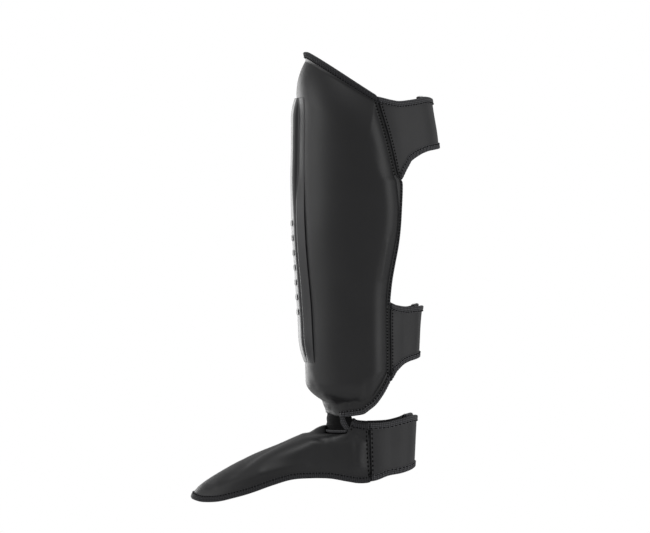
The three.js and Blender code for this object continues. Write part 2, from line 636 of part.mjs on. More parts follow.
// Ankle link: a stretch panel inside the shell's front flap and the collar, with a rolled seam across it
function addLink() {
  const outer = -(4 * gap + 2 * tapeThickness);
  const link = makeSheet(mirrored(steps(4)), steps(5), (column, up, skin) => {
    const z = lerp(linkBottom, linkTop, up);
    const angle = column * readTable(linkRows, "up", "half", up);
    return legPoint(angle, z, outer - (1 - skin) * linkThickness);
  });
  addPiece("ankle_link", sheetBody(link), materials.stretch);
  for (const [name, side] of [["left", 1], ["right", -1]]) {
    const rim = link.rows.map((up) => [side, up]);
    addPiece("link_binding_" + name, tapeOn(link, rim, [-side, 0]), materials.tape);
  }
  const sides = 8;
  const places = steps(12, -weltHalf, weltHalf);
  const height = (angle) => collarAt(angle) + weltLift;
  const points = places.flatMap((angle) =>
    steps(sides - 1, 0, 360 - 360 / sides).map((turn) => {
      const out = pipingRadius * Math.cos(degToRad(turn));
      const up = pipingRadius * Math.sin(degToRad(turn));
      return legPoint(angle, height(angle) + up, pipingRadius + out);
    }),
  );
  const faces = [];
  for (let k = 0; k < places.length - 1; k++) {
    for (let s = 0; s < sides; s++) {
      const a = k * sides + s;
      const b = k * sides + ((s + 1) % sides);
      faces.push([a, b, b + sides], [a, b + sides, a + sides]);
    }
  }
  const end = (places.length - 1) * sides;
  for (let s = 1; s < sides - 1; s++) faces.push([0, s + 1, s], [end, end + s, end + s + 1]);
  addPiece("ankle_welt", closedBody(points, faces), materials.tape);
}

addRidge();
addShellBindings();
addStrap("upper_strap", upperStrap, upperStrapRows, wrapAt);
addStrap("lower_strap", lowerStrap, lowerStrapRows, wrapAt);
addStrap("heel_strap", heelStrap, heelStrapRows, heelSeamAt);
addInstep();
addLink();

export default guard;
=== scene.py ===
import logging
import math
from dataclasses import dataclass, field
from enum import Enum
from typing import Callable

import bpy
import numpy as np
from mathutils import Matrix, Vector


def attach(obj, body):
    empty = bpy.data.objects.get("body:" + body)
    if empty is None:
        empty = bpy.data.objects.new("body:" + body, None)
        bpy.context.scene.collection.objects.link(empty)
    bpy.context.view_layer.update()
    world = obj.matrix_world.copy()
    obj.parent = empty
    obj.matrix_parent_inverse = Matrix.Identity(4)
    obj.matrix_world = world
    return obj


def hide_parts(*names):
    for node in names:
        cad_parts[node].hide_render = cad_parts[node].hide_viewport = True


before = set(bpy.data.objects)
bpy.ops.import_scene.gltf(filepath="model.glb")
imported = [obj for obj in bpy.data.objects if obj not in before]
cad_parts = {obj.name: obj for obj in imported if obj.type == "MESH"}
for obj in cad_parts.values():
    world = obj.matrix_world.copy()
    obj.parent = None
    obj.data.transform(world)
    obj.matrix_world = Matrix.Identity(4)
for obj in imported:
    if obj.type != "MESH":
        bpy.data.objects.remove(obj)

Array = np.ndarray
Piece, Material, Tree = bpy.types.Object, bpy.types.Material, bpy.types.NodeTree
Place = Callable[[Array, Array, float], Array]
Run = tuple[Array, Array]
log = logging.getLogger("guard")

MM = 0.001

# The leg and the shell's sewn edges, as in the solids
SHIN_HEIGHT = 385.0
CALF_FRONT, CALF_REAR, CALF_HALF = 60.0, 61.5, 56.0
EDGE = 4.0
FLANGE = 7.5

# Clearance between pieces, and the thickness of the tape, the straps and the loop patches
GAP = 0.3
TAPE = 0.8
STRAP = 2.4
PATCH = 1.2

# Folded tapes: width, how far in their stitches run, the step that finds the way in, and the least share of
# that way that counts as square to the rim
TAPE_WIDTH = 5.2
REAR_TAPE_WIDTH = 4.6
STITCH_IN = 4.1
RIM_STEP = 0.004
STEEPEST = 0.45
# Share of the folded tape's width in from the rim, lift off the sheet's skin
TAPE_SECTION = (
    (1.0, -0.1), (0.985, 0.6), (0.93, 0.82), (0.84, 0.8), (0.77, 0.55), (0.7, 0.8), (0.6, 0.95), (0.45, 1.0),
    (0.2, 1.04), (0.0, 1.05),
)

# Seams: depth and width of the groove, then height, place and width of the bead beside it
GROOVE_DEPTH, GROOVE_WIDTH = 1.3, 0.6
BEAD_HEIGHT, BEAD_PLACE, BEAD_WIDTH = 0.6, 1.3, 0.5

# Stitches: pitch, thread radius, share of the pitch that one covers, and lift off tape, cover and strap
STITCH_PITCH = 3.3
THREAD_RADIUS = 0.68
STITCH_SHARE = 0.6
TAPE_LIFT, COVER_LIFT, STRAP_LIFT = 0.72, 0.15, 0.12

# Frayed fibres at a closure: how many, their spread, and the radius at root and tip
FIBRES = 70
ROOT_SPREAD, LEAN_SPREAD = 0.5, 0.75
ROOT_RADIUS, TIP_RADIUS = 0.13, 0.05

# Bands of a wave texture to one unit of its scale, about
BANDS = 3.14

# Slow waves of a cover: height, and how far along each of two coordinates the wave turns by one radian
SHELL_WAVES = ((0.22, 31, 19), (0.14, 17, -11), (0.08, 9.7, 7))
INSTEP_WAVES = ((0.22, 17, 11), (0.12, 8, -7))

# Lights: name, place and size in metres, power in watts
LIGHTS = (
    ("rim_soft", (-2.4, -1.8, 0.2), 1.6, 32),
    ("front_soft", (0.1, -2.8, 0.7), 1.4, 14),
    ("top_soft", (0.8, -0.6, 2.8), 1.2, 20),
    ("back_soft", (1.3, 2.4, 0.5), 2.2, 23),
)

# at (share of the shin's height), front, rear, half (shares of the calf's sizes)
LEG_ROWS = np.array([
    (-0.16, 0.82, 0.565, 0.643), (-0.026, 0.815, 0.612, 0.679), (0, 0.802, 0.617, 0.688),
    (0.023, 0.798, 0.622, 0.705), (0.042, 0.803, 0.627, 0.723), (0.06, 0.818, 0.632, 0.738),
    (0.104, 0.833, 0.64, 0.759), (0.177, 0.85, 0.659, 0.786), (0.291, 0.883, 0.704, 0.83),
    (0.39, 0.922, 0.792, 0.893), (0.52, 0.975, 0.936, 0.973), (0.65, 0.997, 1, 1),
    (0.756, 0.992, 0.987, 1), (0.865, 0.992, 0.886, 1), (0.935, 1.042, 0.83, 1.009), (1, 1.118, 0.8, 1.027),
])
# at (share of the shin's height), wrap (degrees)
WRAP_ROWS = np.array([
    (0, 119.5), (0.156, 119), (0.312, 116), (0.374, 116), (0.423, 117.3), (0.47, 118.6), (0.52, 119),
    (0.577, 118.8), (0.636, 118.6), (0.65, 117.6), (0.662, 113.4), (0.7, 109.8), (0.787, 103.3),
    (0.875, 97.3), (1, 95.5),
])
# round (share of the wrap), rise (share of the heel cut)
HEM_ROWS = np.array([
    (0, 0.08), (0.2, 0.07), (0.4, 0.01), (0.55, 0.04), (0.65, 0.07), (0.71, 0.1), (0.76, 0.18),
    (0.83, 0.3), (0.9, 0.49), (0.966, 0.73), (1, 0.9),
])
# turn (0 seam, 1 back of the leg), top, bottom (shares of the strap's height)
UPPER_ROWS = np.array([
    (0, 0.486, -1.13), (0.05, 0.466, -1.1), (0.09, 0.45, -1.045), (0.17, 0.42, -0.9), (0.28, 0.4, -0.72),
    (0.52, 0.45, -0.56), (0.7, 0.5, -0.51), (1, 0.48, -0.477), (1.34, 0.46, -0.46),
])
LOWER_ROWS = np.array([
    (0, 0.557, -0.955), (0.064, 0.527, -0.88), (0.154, 0.493, -0.76), (0.38, 0.465, -0.604),
    (0.6, 0.48, -0.53), (1, 0.49, -0.481), (1.34, 0.47, -0.46),
])
HEEL_ROWS = np.array([
    (0, 0.427, -0.69), (0.1, 0.43, -0.665), (0.29, 0.45, -0.583), (0.5, 0.51, -0.54), (0.68, 0.56, -0.488),
    (1, 0.57, -0.42), (1.34, 0.55, -0.4),
])
# round, side, reach, drop, rise, lean, brow, fall
INSTEP_ROWS = np.array([
    (0, 0, 1, 0.958, 0.24, 0.024, 0.22, 0), (0.04, 0.24, 0.99, 0.976, 0.25, 0.02, 0.23, 0),
    (0.09, 0.475, 0.943, 0.999, 0.28, 0.01, 0.26, 0), (0.15, 0.69, 0.858, 0.99, 0.32, 0, 0.3, 0),
    (0.22, 0.84, 0.771, 0.943, 0.36, 0, 0.36, 0), (0.3, 0.95, 0.671, 0.877, 0.38, 0, 0.42, 0.01),
    (0.4, 1, 0.549, 0.778, 0.36, 0, 0.46, 0.03), (0.5, 0.99, 0.443, 0.709, 0.34, 0, 0.47, 0.06),
    (0.6, 0.94, 0.338, 0.692, 0.3, 0, 0.46, 0.11), (0.7, 0.88, 0.232, 0.697, 0.26, 0, 0.42, 0.17),
    (0.8, 0.838, 0.137, 0.735, 0.24, 0, 0.36, 0.22), (0.88, 0.818, 0.074, 0.757, 0.23, 0, 0.34, 0.23),
    (0.94, 0.8, 0.03, 0.75, 0.23, 0, 0.33, 0.23), (1, 0.788, -0.008, 0.72, 0.23, 0, 0.33, 0.23),
])
# turn (degrees from the shin), rise (share of the collar's rise)
COLLAR_ROWS = np.array([(0, 0), (62, 0), (66, 0.3), (69.2, 1.2), (71, 1.38), (75, 1.17), (82, 1.07), (92, 1)])
# The same without the step beside the link
COLLAR_BASE_ROWS = np.array([(0, 0), (62, 0), (72, 0.33), (82, 0.67), (92, 1)])
# The panel reaches wider than its slanting tapes: its nearly black cloth past them is partly the link's backing
# and partly painted shade of the hem and collar behind it
# up, half (degrees)
LINK_ROWS = np.array([(0, 68), (0.28, 68), (0.45, 67.5), (0.54, 66), (0.66, 60), (1, 54)])
# The same for the tape that slants across the link's side
LINK_TAPE_ROWS = np.array([(0, 68), (0.16, 68), (0.28, 66), (0.41, 60), (0.51, 56), (0.75, 52), (1, 50)])
# at (share of the shin's height), margin (millimetres beside the rear edge that the foam leaves flat)
MARGIN_ROWS = np.array([
    (0, 3.9), (0.31, 3.9), (0.34, 4.2), (0.45, 4.4), (0.52, 3.6), (0.577, 3.9), (0.6, 4.9), (0.636, 6.6),
    (0.65, 6.4), (0.662, 4.4), (0.7, 4.2), (1, 4),
])
# y and z of one end, y and z of the other, width, height: folds of the shell's cover, in millimetres
SHELL_FOLDS = np.array([
    (15.8, 185.9, 9.5, 149.1, 2.6, 0.55), (20.5, 190, 15.5, 150, 3.0, -0.5),
    (-45.9, 24.5, -25.6, 19, 1.5, -0.75), (-25.6, 19, -17.3, 22, 1.5, -0.5), (-50, 27.5, -26, 24, 3.2, 0.6),
    (-44.1, 13.2, -35, 8.4, 1.8, -0.6), (-66, 48, -60, 36, 3.0, -0.5), (-3, 290, 12, 262, 5.0, -0.35),
    (2, 318, 17, 280, 3.5, 0.35),
])
# The same for the instep guard
INSTEP_FOLDS = np.array([
    (-160.6, -66.2, -116.6, -54.6, 5.5, 0.8), (-116.6, -54.6, -70.4, -47.3, 5.5, 0.7),
    (-132, -46, -44, -33, 6.5, -0.7), (-15.8, -12.6, -4.9, -23.5, 1.8, -0.9),
    (-17, -17.5, -15.2, -41.6, 3.6, 0.7), (-72.5, -16.8, -54, -24.5, 3.6, 0.5),
    (-66, -14.5, -50, -20.5, 2.6, -0.35), (-13, -26, -14, -50, 7.5, 3.2), (-40, -17, -26, -19, 3.0, -0.5),
    (-150, -58, -128, -52, 3.5, -0.4),
])
# across (share of the ridge's half width), bar, rib (shares of the ridge's height)
RIDGE_ROWS = np.array([
    (0, 1, 0), (0.24, 1, 0), (0.46, 0.93, 0.02), (0.55, 0.6, 0.22), (0.585, 0.25, 0.36), (0.63, 0.2, 0.53),
    (0.7, 0.14, 0.5), (0.85, 0.08, 0.24), (0.95, 0.04, 0.12), (1, 0.02, 0.1),
])

# Middle height and height of each strap
UPPER_STRAP = (0.8078 * SHIN_HEIGHT, 0.1351 * SHIN_HEIGHT)
LOWER_STRAP = (0.2416 * SHIN_HEIGHT, 0.1377 * SHIN_HEIGHT)
INSTEP_DROP = 83.5
HEEL_STRAP = (-0.3054 * INSTEP_DROP, 0.6228 * INSTEP_DROP)


class Side(Enum):
    """Which side of the leg a piece is on: the sign of X."""

    LEFT = 1
    RIGHT = -1


# Curves and points


def read_rows(rows: Array, column: int, at: Array) -> Array:
    """Smooth curve through a table's column: cubic Hermite spans, knots sloped by their two neighbours.

    Args: rows, the table, whose first column is the place; column, the column that is read; at, the places.
    Returns: the values there.
    """
    x, y = rows[:, 0], rows[:, column]
    last = len(x) - 1
    at = np.clip(np.asarray(at, float), x[0], x[-1])
    i = np.clip(np.searchsorted(x, at, side="left") - 1, 0, last - 1)
    before, after = np.maximum(np.arange(last + 1) - 1, 0), np.minimum(np.arange(last + 1) + 1, last)
    slope = (y[after] - y[before]) / (x[after] - x[before])
    span = x[i + 1] - x[i]
    t = (at - x[i]) / span
    bend = (t - 1) ** 2 * t * span * slope[i] + (t - 1) * t * t * span * slope[i + 1]
    return y[i] + (y[i + 1] - y[i]) * t * t * (3 - 2 * t) + bend


def smoothstep(x: Array, low: float, high: float) -> Array:
    """Cubic step from 0 at low to 1 at high."""
    t = np.clip((x - low) / (high - low), 0, 1)
    return t * t * (3 - 2 * t)


def bump(x: Array, middle: float, width: float) -> Array:
    """Bell curve of height 1 round a middle."""
    return np.exp(-(((x - middle) / width) ** 2))


def seam_form(distance: Array) -> Array:
    """Relief beside a sewn seam: a groove at the seam itself, then a low bead where the cover turns in."""
    groove = GROOVE_DEPTH * bump(distance, 0, GROOVE_WIDTH)
    return BEAD_HEIGHT * bump(distance, BEAD_PLACE, BEAD_WIDTH) - groove


def foam(distance: Array, margin: Array, roll: float) -> Array:
    """0 on the sewn margin, rising in a parabola to 1 where the foam has its full thickness."""
    x = np.clip((distance - margin) / roll, 0, 1)
    return 1 - (1 - x) ** 2


def waves(rows: tuple[tuple[float, float, float], ...], first: Array, second: Array) -> Array:
    """Slow waves of a cover: a sum of sines, each of the two coordinates over their lengths."""
    return sum(height * np.sin(first / one + second / two) for height, one, two in rows)


def stack(x: Array, y: Array, z: Array) -> Array:
    """Points from three arrays of coordinates."""
    return np.stack(np.broadcast_arrays(x, y, z), axis=-1)


def unit(v: Array) -> Array:
    """Vectors scaled to length 1."""
    return v / np.maximum(np.linalg.norm(v, axis=-1, keepdims=True), 1e-9)


def travelled(path: Array) -> Array:
    """Distance along a path at each of its points."""
    return np.linalg.norm(np.diff(path, axis=0, prepend=path[:1]), axis=1).cumsum()


def press(points: Array, folds: Array) -> Array:
    """Soft folds: each is a bell curve of the distance from a straight line in the side view.

    Args: points, where the folds are read; folds, rows of y and z of one end, y and z of the other, width
    and height.
    Returns: the folds' height at each point.
    """
    spot = points[..., 1:]
    total = np.zeros(points.shape[:-1])
    for y0, z0, y1, z1, width, height in folds:
        start, way = np.array([y0, z0]), np.array([y1 - y0, z1 - z0])
        share = np.clip(((spot - start) @ way) / (way @ way), 0, 1)
        off = np.linalg.norm(spot - start - share[..., None] * way, axis=-1)
        total += height * np.exp(-((off / width) ** 2))
    return total


class Leg:
    """The tube that every layer of the guard follows."""

    def section(self, z: Array) -> tuple[Array, Array, Array]:
        """Oval of the leg at a height, from the table of sections.

        Args: z, heights.
        Returns: the oval's centre along Y, its half depth and its half width.
        """
        at = np.asarray(z, float) / SHIN_HEIGHT
        front, rear = CALF_FRONT * read_rows(LEG_ROWS, 1, at), CALF_REAR * read_rows(LEG_ROWS, 2, at)
        return (rear - front) / 2, (rear + front) / 2, CALF_HALF * read_rows(LEG_ROWS, 3, at)

    def point(self, angle: Array, z: Array, offset: Array) -> Array:
        """Points round the leg: an oval at each height, grown by the offset.

        Args: angle, degrees from the shin; z, heights; offset, distance off the leg.
        Returns: the points.
        """
        centre, depth, half = self.section(z)
        turn = np.radians(angle)
        return stack((half + offset) * np.sin(turn), centre - (depth + offset) * np.cos(turn), z)

    def arc(self, z: Array) -> Array:
        """Millimetres of arc to one degree round the leg."""
        _, depth, half = self.section(z)
        return np.radians((depth + half) / 2 + EDGE)

    def wrap(self, z: Array) -> Array:
        """How far round the shell reaches, in degrees."""
        return read_rows(WRAP_ROWS, 1, np.asarray(z, float) / SHIN_HEIGHT)


LEG = Leg()


# Finishes


def srgb(code: str) -> tuple[float, float, float, float]:
    """A hex colour made linear by the sRGB curve.

    Args: code, the colour, such as "#121214".
    Returns: linear red, green, blue and alpha.
    """
    parts = [int(code[i : i + 2], 16) / 255 for i in (1, 3, 5)]
    linear = [c / 12.92 if c <= 0.04045 else ((c + 0.055) / 1.055) ** 2.4 for c in parts]
    return (*linear, 1.0)


def add_node(tree: Tree, kind: str, values: dict | None = None, **links) -> bpy.types.Node:
    """One shader node.

    Args: tree, its node tree; kind, the node's type; values, its properties; links, an input's name to a
    socket or a value.
    Returns: the node.
    """
    node = tree.nodes.new(kind)
    for name, value in (values or {}).items():
        setattr(node, name, value)
    for name, value in links.items():
        socket = node.inputs[name.replace("_", " ")]
        if isinstance(value, bpy.types.NodeSocket):
            tree.links.new(value, socket)
        else:
            socket.default_value = value
    return node


@dataclass(frozen=True)
class Finish:
    """A grained or woven surface: colours, gloss, and the size and height of its grain in millimetres."""

    name: str
    dark: str
    light: str
    rough: float
    grain_mm: float
    relief: float
    sheen: float = 0.0
    weave: bool = False
    shine: float = 0.5
    blotch_mm: float = 34.0

    def pattern(self, tree: Tree, place: bpy.types.Node) -> bpy.types.NodeSocket:
        """Height of the pattern: crossed waves multiplied, along the UV map, for cloth, and pebbled Voronoi
        cells for leather.

        Args: tree, the material's node tree; place, its texture coordinates.
        Returns: the socket that gives the height.
        """
        if not self.weave:
            cells = add_node(tree, "ShaderNodeTexVoronoi", {"feature": "SMOOTH_F1"},
                             Vector=place.outputs["Object"], Scale=1000 / self.grain_mm)
            return cells.outputs["Distance"]
        scale = 1000 / self.grain_mm / 2 / BANDS
        crossed = add_node(tree, "ShaderNodeMath", {"operation": "MULTIPLY"})
        for socket, way in enumerate("XY"):
            wave = add_node(tree, "ShaderNodeTexWave", {"bands_direction": way}, Vector=place.outputs["UV"],
                            Scale=scale)
            tree.links.new(wave.outputs["Fac"], crossed.inputs[socket])
        return crossed.outputs[0]

    def make(self) -> Material:
        """The material. Leather takes its tone from a slow noise; cloth takes its colour from its weave's height,
        paler on the crowns as painted highlight and darker in the gaps as painted shade. A fine noise varies
        relief and gloss on both.

        Returns: the material.
        """
        material = bpy.data.materials.new(self.name)
        material.use_nodes = True
        tree = material.node_tree
        shader = tree.nodes["Principled BSDF"]
        place = add_node(tree, "ShaderNodeTexCoord")
        body = place.outputs["Object"]
        fine = add_node(tree, "ShaderNodeTexNoise", Vector=body, Scale=1000 / (self.grain_mm * 0.7),
                        Detail=3.0)
        height = self.pattern(tree, place)
        both = add_node(tree, "ShaderNodeMath", {"operation": "MULTIPLY_ADD"})
        tree.links.new(fine.outputs["Fac"], both.inputs[0])
        both.inputs[1].default_value = 0.6
        tree.links.new(height, both.inputs[2])
        relief = add_node(tree, "ShaderNodeBump", Height=both.outputs[0], Strength=0.55,
                          Distance=self.relief * MM)
        tree.links.new(relief.outputs["Normal"], shader.inputs["Normal"])
        mix = add_node(tree, "ShaderNodeMix", {"data_type": "RGBA"})
        mix.inputs[6].default_value = srgb(self.dark)
        mix.inputs[7].default_value = srgb(self.light)
        # Cloth: colour follows the weave's height, crowns paler as painted highlight, gaps darker as painted
        # shade
        if self.weave:
            tree.links.new(height, mix.inputs["Factor"])
        else:
            blotch = add_node(tree, "ShaderNodeTexNoise", Vector=body, Scale=1000 / self.blotch_mm,
                              Detail=4.0)
            tone = add_node(tree, "ShaderNodeMapRange", Value=blotch.outputs["Fac"], From_Min=0.3,
                            From_Max=0.7)
            tree.links.new(tone.outputs["Result"], mix.inputs["Factor"])
        tree.links.new(mix.outputs[2], shader.inputs["Base Color"])
        gloss = add_node(tree, "ShaderNodeMapRange", Value=fine.outputs["Fac"], To_Min=self.rough - 0.05,
                         To_Max=self.rough + 0.08)
        tree.links.new(gloss.outputs["Result"], shader.inputs["Roughness"])
        shader.inputs["Specular IOR Level"].default_value = self.shine
        shader.inputs["Sheen Weight"].default_value = self.sheen
        return material


class Finishes:
    """The guard's materials, made once."""

    def __init__(self) -> None:
        """Makes each material from its finish."""
        # Grained synthetic leather: fine pebbles break up a soft gloss, so that the cover looks supple
        self.cover = Finish("grained_synthetic_leather", "#121214", "#171719", 0.45, 0.9, 0.07).make()
        # Pressed leather of the ridge: flatter pebbles and more gloss set it off from the cover round it. Its
        # colours are paler than the cover's as painted light, standing in for the light on its side bands
        self.ridge = Finish("pressed_leather_painted_light", "#1f1f21", "#272729", 0.36, 0.8, 0.05).make()
        # Strap leather: paler and more matt, with a faint sheen, so that the straps read as separate bands
        self.strap = Finish("matt_strap_leather", "#1c1c1e", "#232325", 0.54, 0.9, 0.1, sheen=0.03).make()
        # Woven binding tape: its colour follows the weave, pale crowns as painted highlight over gaps darkened
        # as painted shade. Drawn at 1 mm so that the weave shows, where the real one has about half a millimetre
        self.tape = Finish("woven_binding_tape", "#19191b", "#5e5e62", 0.66, 1.0, 0.1, sheen=0.08,
                           weave=True, shine=0.35).make()
        # A darker copy of the same tape, painted shade: on the top edge, the sole edge and the collar, where the
        # tape reads darker
        self.painted_shade_tape = Finish("binding_tape_painted_shade", "#131315", "#434347", 0.7, 1.0, 0.1, sheen=0.04,
                                weave=True, shine=0.3).make()
        # Knitted stretch cloth of the ankle link: dull, nearly black, its loops drawn coarser than the knit's,
        # their crowns paler as painted highlight and the gaps between darker as painted shade
        self.stretch = Finish("knitted_stretch_cloth", "#09090a", "#161617", 0.85, 1.1, 0.3, sheen=0.02,
                              weave=True, shine=0.15).make()
        # Brushed cloth lining inside the shell: a soft nap that catches light where it turns away
        self.lining = Finish("brushed_cloth_lining", "#0f0f11", "#151516", 0.9, 0.6, 0.2, sheen=0.15).make()
        # Loop pile of the closures: rough and dark, without gloss
        self.loop = Finish("loop_pile", "#0d0d0e", "#141415", 0.95, 0.5, 0.5, sheen=0.2).make()
        # Frayed nylon of the hook tape: pale fibres that catch the light
        self.hook = Finish("hook_nylon", "#6a6a6c", "#8c8c8e", 0.5, 0.3, 0.05).make()
        # Bonded polyester thread: near black, so that stitches read as short dark dashes
        self.thread = Finish("sewing_thread", "#020202", "#050505", 0.7, 0.3, 0.05, shine=0.12).make()


# Meshes


def grid_quads(wide: int, high: int, start: int = 0, flip: bool = False) -> Array:
    """Quads of a grid of points stored row by row.

    Args: wide, points in a row; high, rows; start, number of the first point; flip, whether the quads face
    the other way.
    Returns: four point numbers a quad.
    """
    i, j = np.meshgrid(np.arange(wide - 1), np.arange(high - 1))
    a = (start + j * wide + i).ravel()
    quads = np.stack([a, a + 1, a + 1 + wide, a + wide], axis=1)
    return quads[:, ::-1] if flip else quads


def make_object(name: str, points: Array, quads: Array, materials: list[Material],
                uv: Array | None = None, which: Array | None = None) -> Piece:
    """A mesh object in metres, in the part's frame.

    Args: name, the piece's name; points, its points, in millimetres; quads, four point numbers each;
    materials, its materials; uv, cloth coordinates of each point, in millimetres; which, the material
    number of each quad.
    Returns: the object.
    """
    mesh = bpy.data.meshes.new(name)
    mesh.vertices.add(len(points))
    mesh.vertices.foreach_set("co", (points * MM).astype(np.float32).ravel())
    mesh.loops.add(quads.size)
    mesh.loops.foreach_set("vertex_index", quads.astype(np.int32).ravel())
    mesh.polygons.add(len(quads))
    mesh.polygons.foreach_set("loop_start", np.arange(0, quads.size, 4, dtype=np.int32))
    mesh.update(calc_edges=True)
    if uv is not None:
        layer = mesh.uv_layers.new(name="UVMap")
        layer.data.foreach_set("uv", (uv[quads.ravel()] * MM).astype(np.float32).ravel())
    for material in materials:
        mesh.materials.append(material)
    if which is not None:
        mesh.polygons.foreach_set("material_index", which.astype(np.int32))
    mesh.polygons.foreach_set("use_smooth", np.ones(len(quads), bool))
    mesh.validate()
    piece = bpy.data.objects.new(name, mesh)
    bpy.context.scene.collection.objects.link(piece)
    return piece


def settle(piece: Piece, slot: str, *nodes: str) -> Piece:
    """Rides a piece on the frame, and hides the nodes that it stands for.

    Args: piece, the piece; slot, not used; nodes, the nodes that it replaces.
    Returns: the piece.
    """
    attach(piece, "root")
    if nodes:
        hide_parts(*nodes)
    log.info("%s: %d faces", piece.name, len(piece.data.polygons))
    return piece


def make_sheet(name: str, skin: Place, columns: Array, rows: Array, materials: list[Material]) -> Piece:
    """A closed wall: the outer and the inner skin on one grid, and the four rims between them.

    Args: name, the piece's name; skin, gives points of the sheet; columns, the grid's columns; rows, the
    grid's rows; materials, one for the whole wall, or a second for the inner skin.
    Returns: the object.
    """
    u, v = np.meshgrid(columns, rows)
    outer, inner = skin(u, v, 1), skin(u, v, 0)
    high, wide, _ = outer.shape
    count = high * wide
    index = np.arange(count).reshape(high, wide)
    quads = [grid_quads(wide, high), grid_quads(wide, high, count, True)]
    for edge, turned in ((index[0], True), (index[-1], False), (index[:, 0], False), (index[:, -1], True)):
        a, b = (edge[1:], edge[:-1]) if turned else (edge[:-1], edge[1:])
        quads.append(np.stack([a, b, b + count, a + count], axis=1))
    which = np.concatenate([np.full(len(q), int(k == 1 and len(materials) > 1)) for k, q in enumerate(quads)])
    along = np.linalg.norm(np.diff(outer, axis=1, prepend=outer[:, :1]), axis=2).cumsum(axis=1)
    up = np.linalg.norm(np.diff(outer, axis=0, prepend=outer[:1]), axis=2).cumsum(axis=0)
    uv = np.stack([along, up], axis=-1).reshape(-1, 2)
    points = np.concatenate([outer.reshape(-1, 3), inner.reshape(-1, 3)])
    return make_object(name, points, np.concatenate(quads), materials, np.tile(uv, (2, 1)), which)


def skin_run(skin: Place, columns: Array, rows: Array, lift: float) -> Run:
    """A stitch path over a sheet's outer skin.

    Args: skin, gives points of the sheet; columns, the path's columns; rows, its rows; lift, its height
    over the skin.
    Returns: the path, and the way off the sheet along it.
    """
    low, high = skin(columns, rows, 0), skin(columns, rows, 1)
    normal = unit(high - low)
    return high + normal * lift, normal


@dataclass
class Rim:
    """A sheet's rim: the places along it, and the way into the sheet."""

    skin: Place
    columns: Array | float
    rows: Array | float
    inward: tuple[float, float]

    def __post_init__(self) -> None:
        """Spreads columns and rows to one length."""
        self.columns, self.rows = np.broadcast_arrays(self.columns, self.rows)

    def into(self, share: Array) -> Run:
        """Columns and rows of the places a share in from the rim."""
        return self.columns + self.inward[0] * share, self.rows + self.inward[1] * share

    def measure(self) -> tuple[Array, Array, Array]:
        """The rim's own frame, with its slant held so that a share never grows without end.

        Returns: the rim's points, the way out at a right angle to it, and millimetres to one share inwards.
        """
        points = self.skin(*self.into(0.0), 1)
        along = unit(np.gradient(points, axis=0))
        way = (self.skin(*self.into(RIM_STEP), 1) - points) / RIM_STEP
        square = way - along * np.sum(way * along, axis=1, keepdims=True)
        length = np.maximum(np.linalg.norm(square, axis=1), STEEPEST * np.linalg.norm(way, axis=1))
        return points, -unit(square), length

    def run(self, distance: float = STITCH_IN) -> Run:
        """Stitch path a fixed distance in from the rim, on top of its tape."""
        return skin_run(self.skin, *self.into(distance / self.measure()[2]), TAPE_LIFT)


def make_tape(name: str, node: str, rim: Rim, material: Material, width: float = TAPE_WIDTH,
              gather: float = 0.1, free: bool = False) -> Piece:
    """A binding folded over a rim. Each section runs up the outer face from the tape's sewn edge, half way
    round an ellipse over the rim, and down the inner face.

    Args: name, the piece's name; node, what it replaces; rim, the rim that it covers; material, its
    material; width, width of the folded tape; gather, height of its slanting puckers; free, whether its
    first end is tucked down.
    Returns: the object.
    """
    points, outward, length = rim.measure()
    share = width / length
    travel = travelled(points)
    end = smoothstep(travel, 0.0, 3.2) if free else np.ones_like(travel)
    faces: list[tuple[Array, Array, Array]] = []
    for s, lift in TAPE_SECTION:
        pucker = gather * np.sin(travel * 1.9 + s * 3.4) * smoothstep(1 - s, 0.0, 0.2)
        height = (lift + pucker) * end - 0.2 * (1 - end)
        places = rim.into(share * s)
        faces.append((rim.skin(*places, 0), rim.skin(*places, 1), height[:, None]))
    low, high, lift = faces[-1]
    middle, half = (low + high) / 2, (high - low) / 2
    reach = np.linalg.norm(half, axis=1, keepdims=True) + lift
    fold = outward * (end * (GAP + TAPE + 0.4))[:, None]
    sections = [high + unit(high - low) * lift for low, high, lift in faces]
    for turn in np.linspace(0, math.pi, 9)[1:-1]:
        sections.append(middle + unit(half) * reach * math.cos(turn) + fold * math.sin(turn))
    sections += [low - unit(high - low) * lift for low, high, lift in reversed(faces)]
    grid = np.stack(sections, axis=0)
    high_count, wide = grid.shape[:2]
    uv = np.stack(np.broadcast_arrays(travel, travelled(grid[:, 0])[:, None]), axis=-1)
    quads = grid_quads(wide, high_count)
    return settle(make_object(name, grid.reshape(-1, 3), quads, [material], uv.reshape(-1, 2)), "tape", node)


def sample(values: Array, travel: Array, at: Array) -> Array:
    """Rows of values along a path, read at distances along it."""
    return np.stack([np.interp(at, travel, values[:, k]) for k in range(3)], axis=-1)


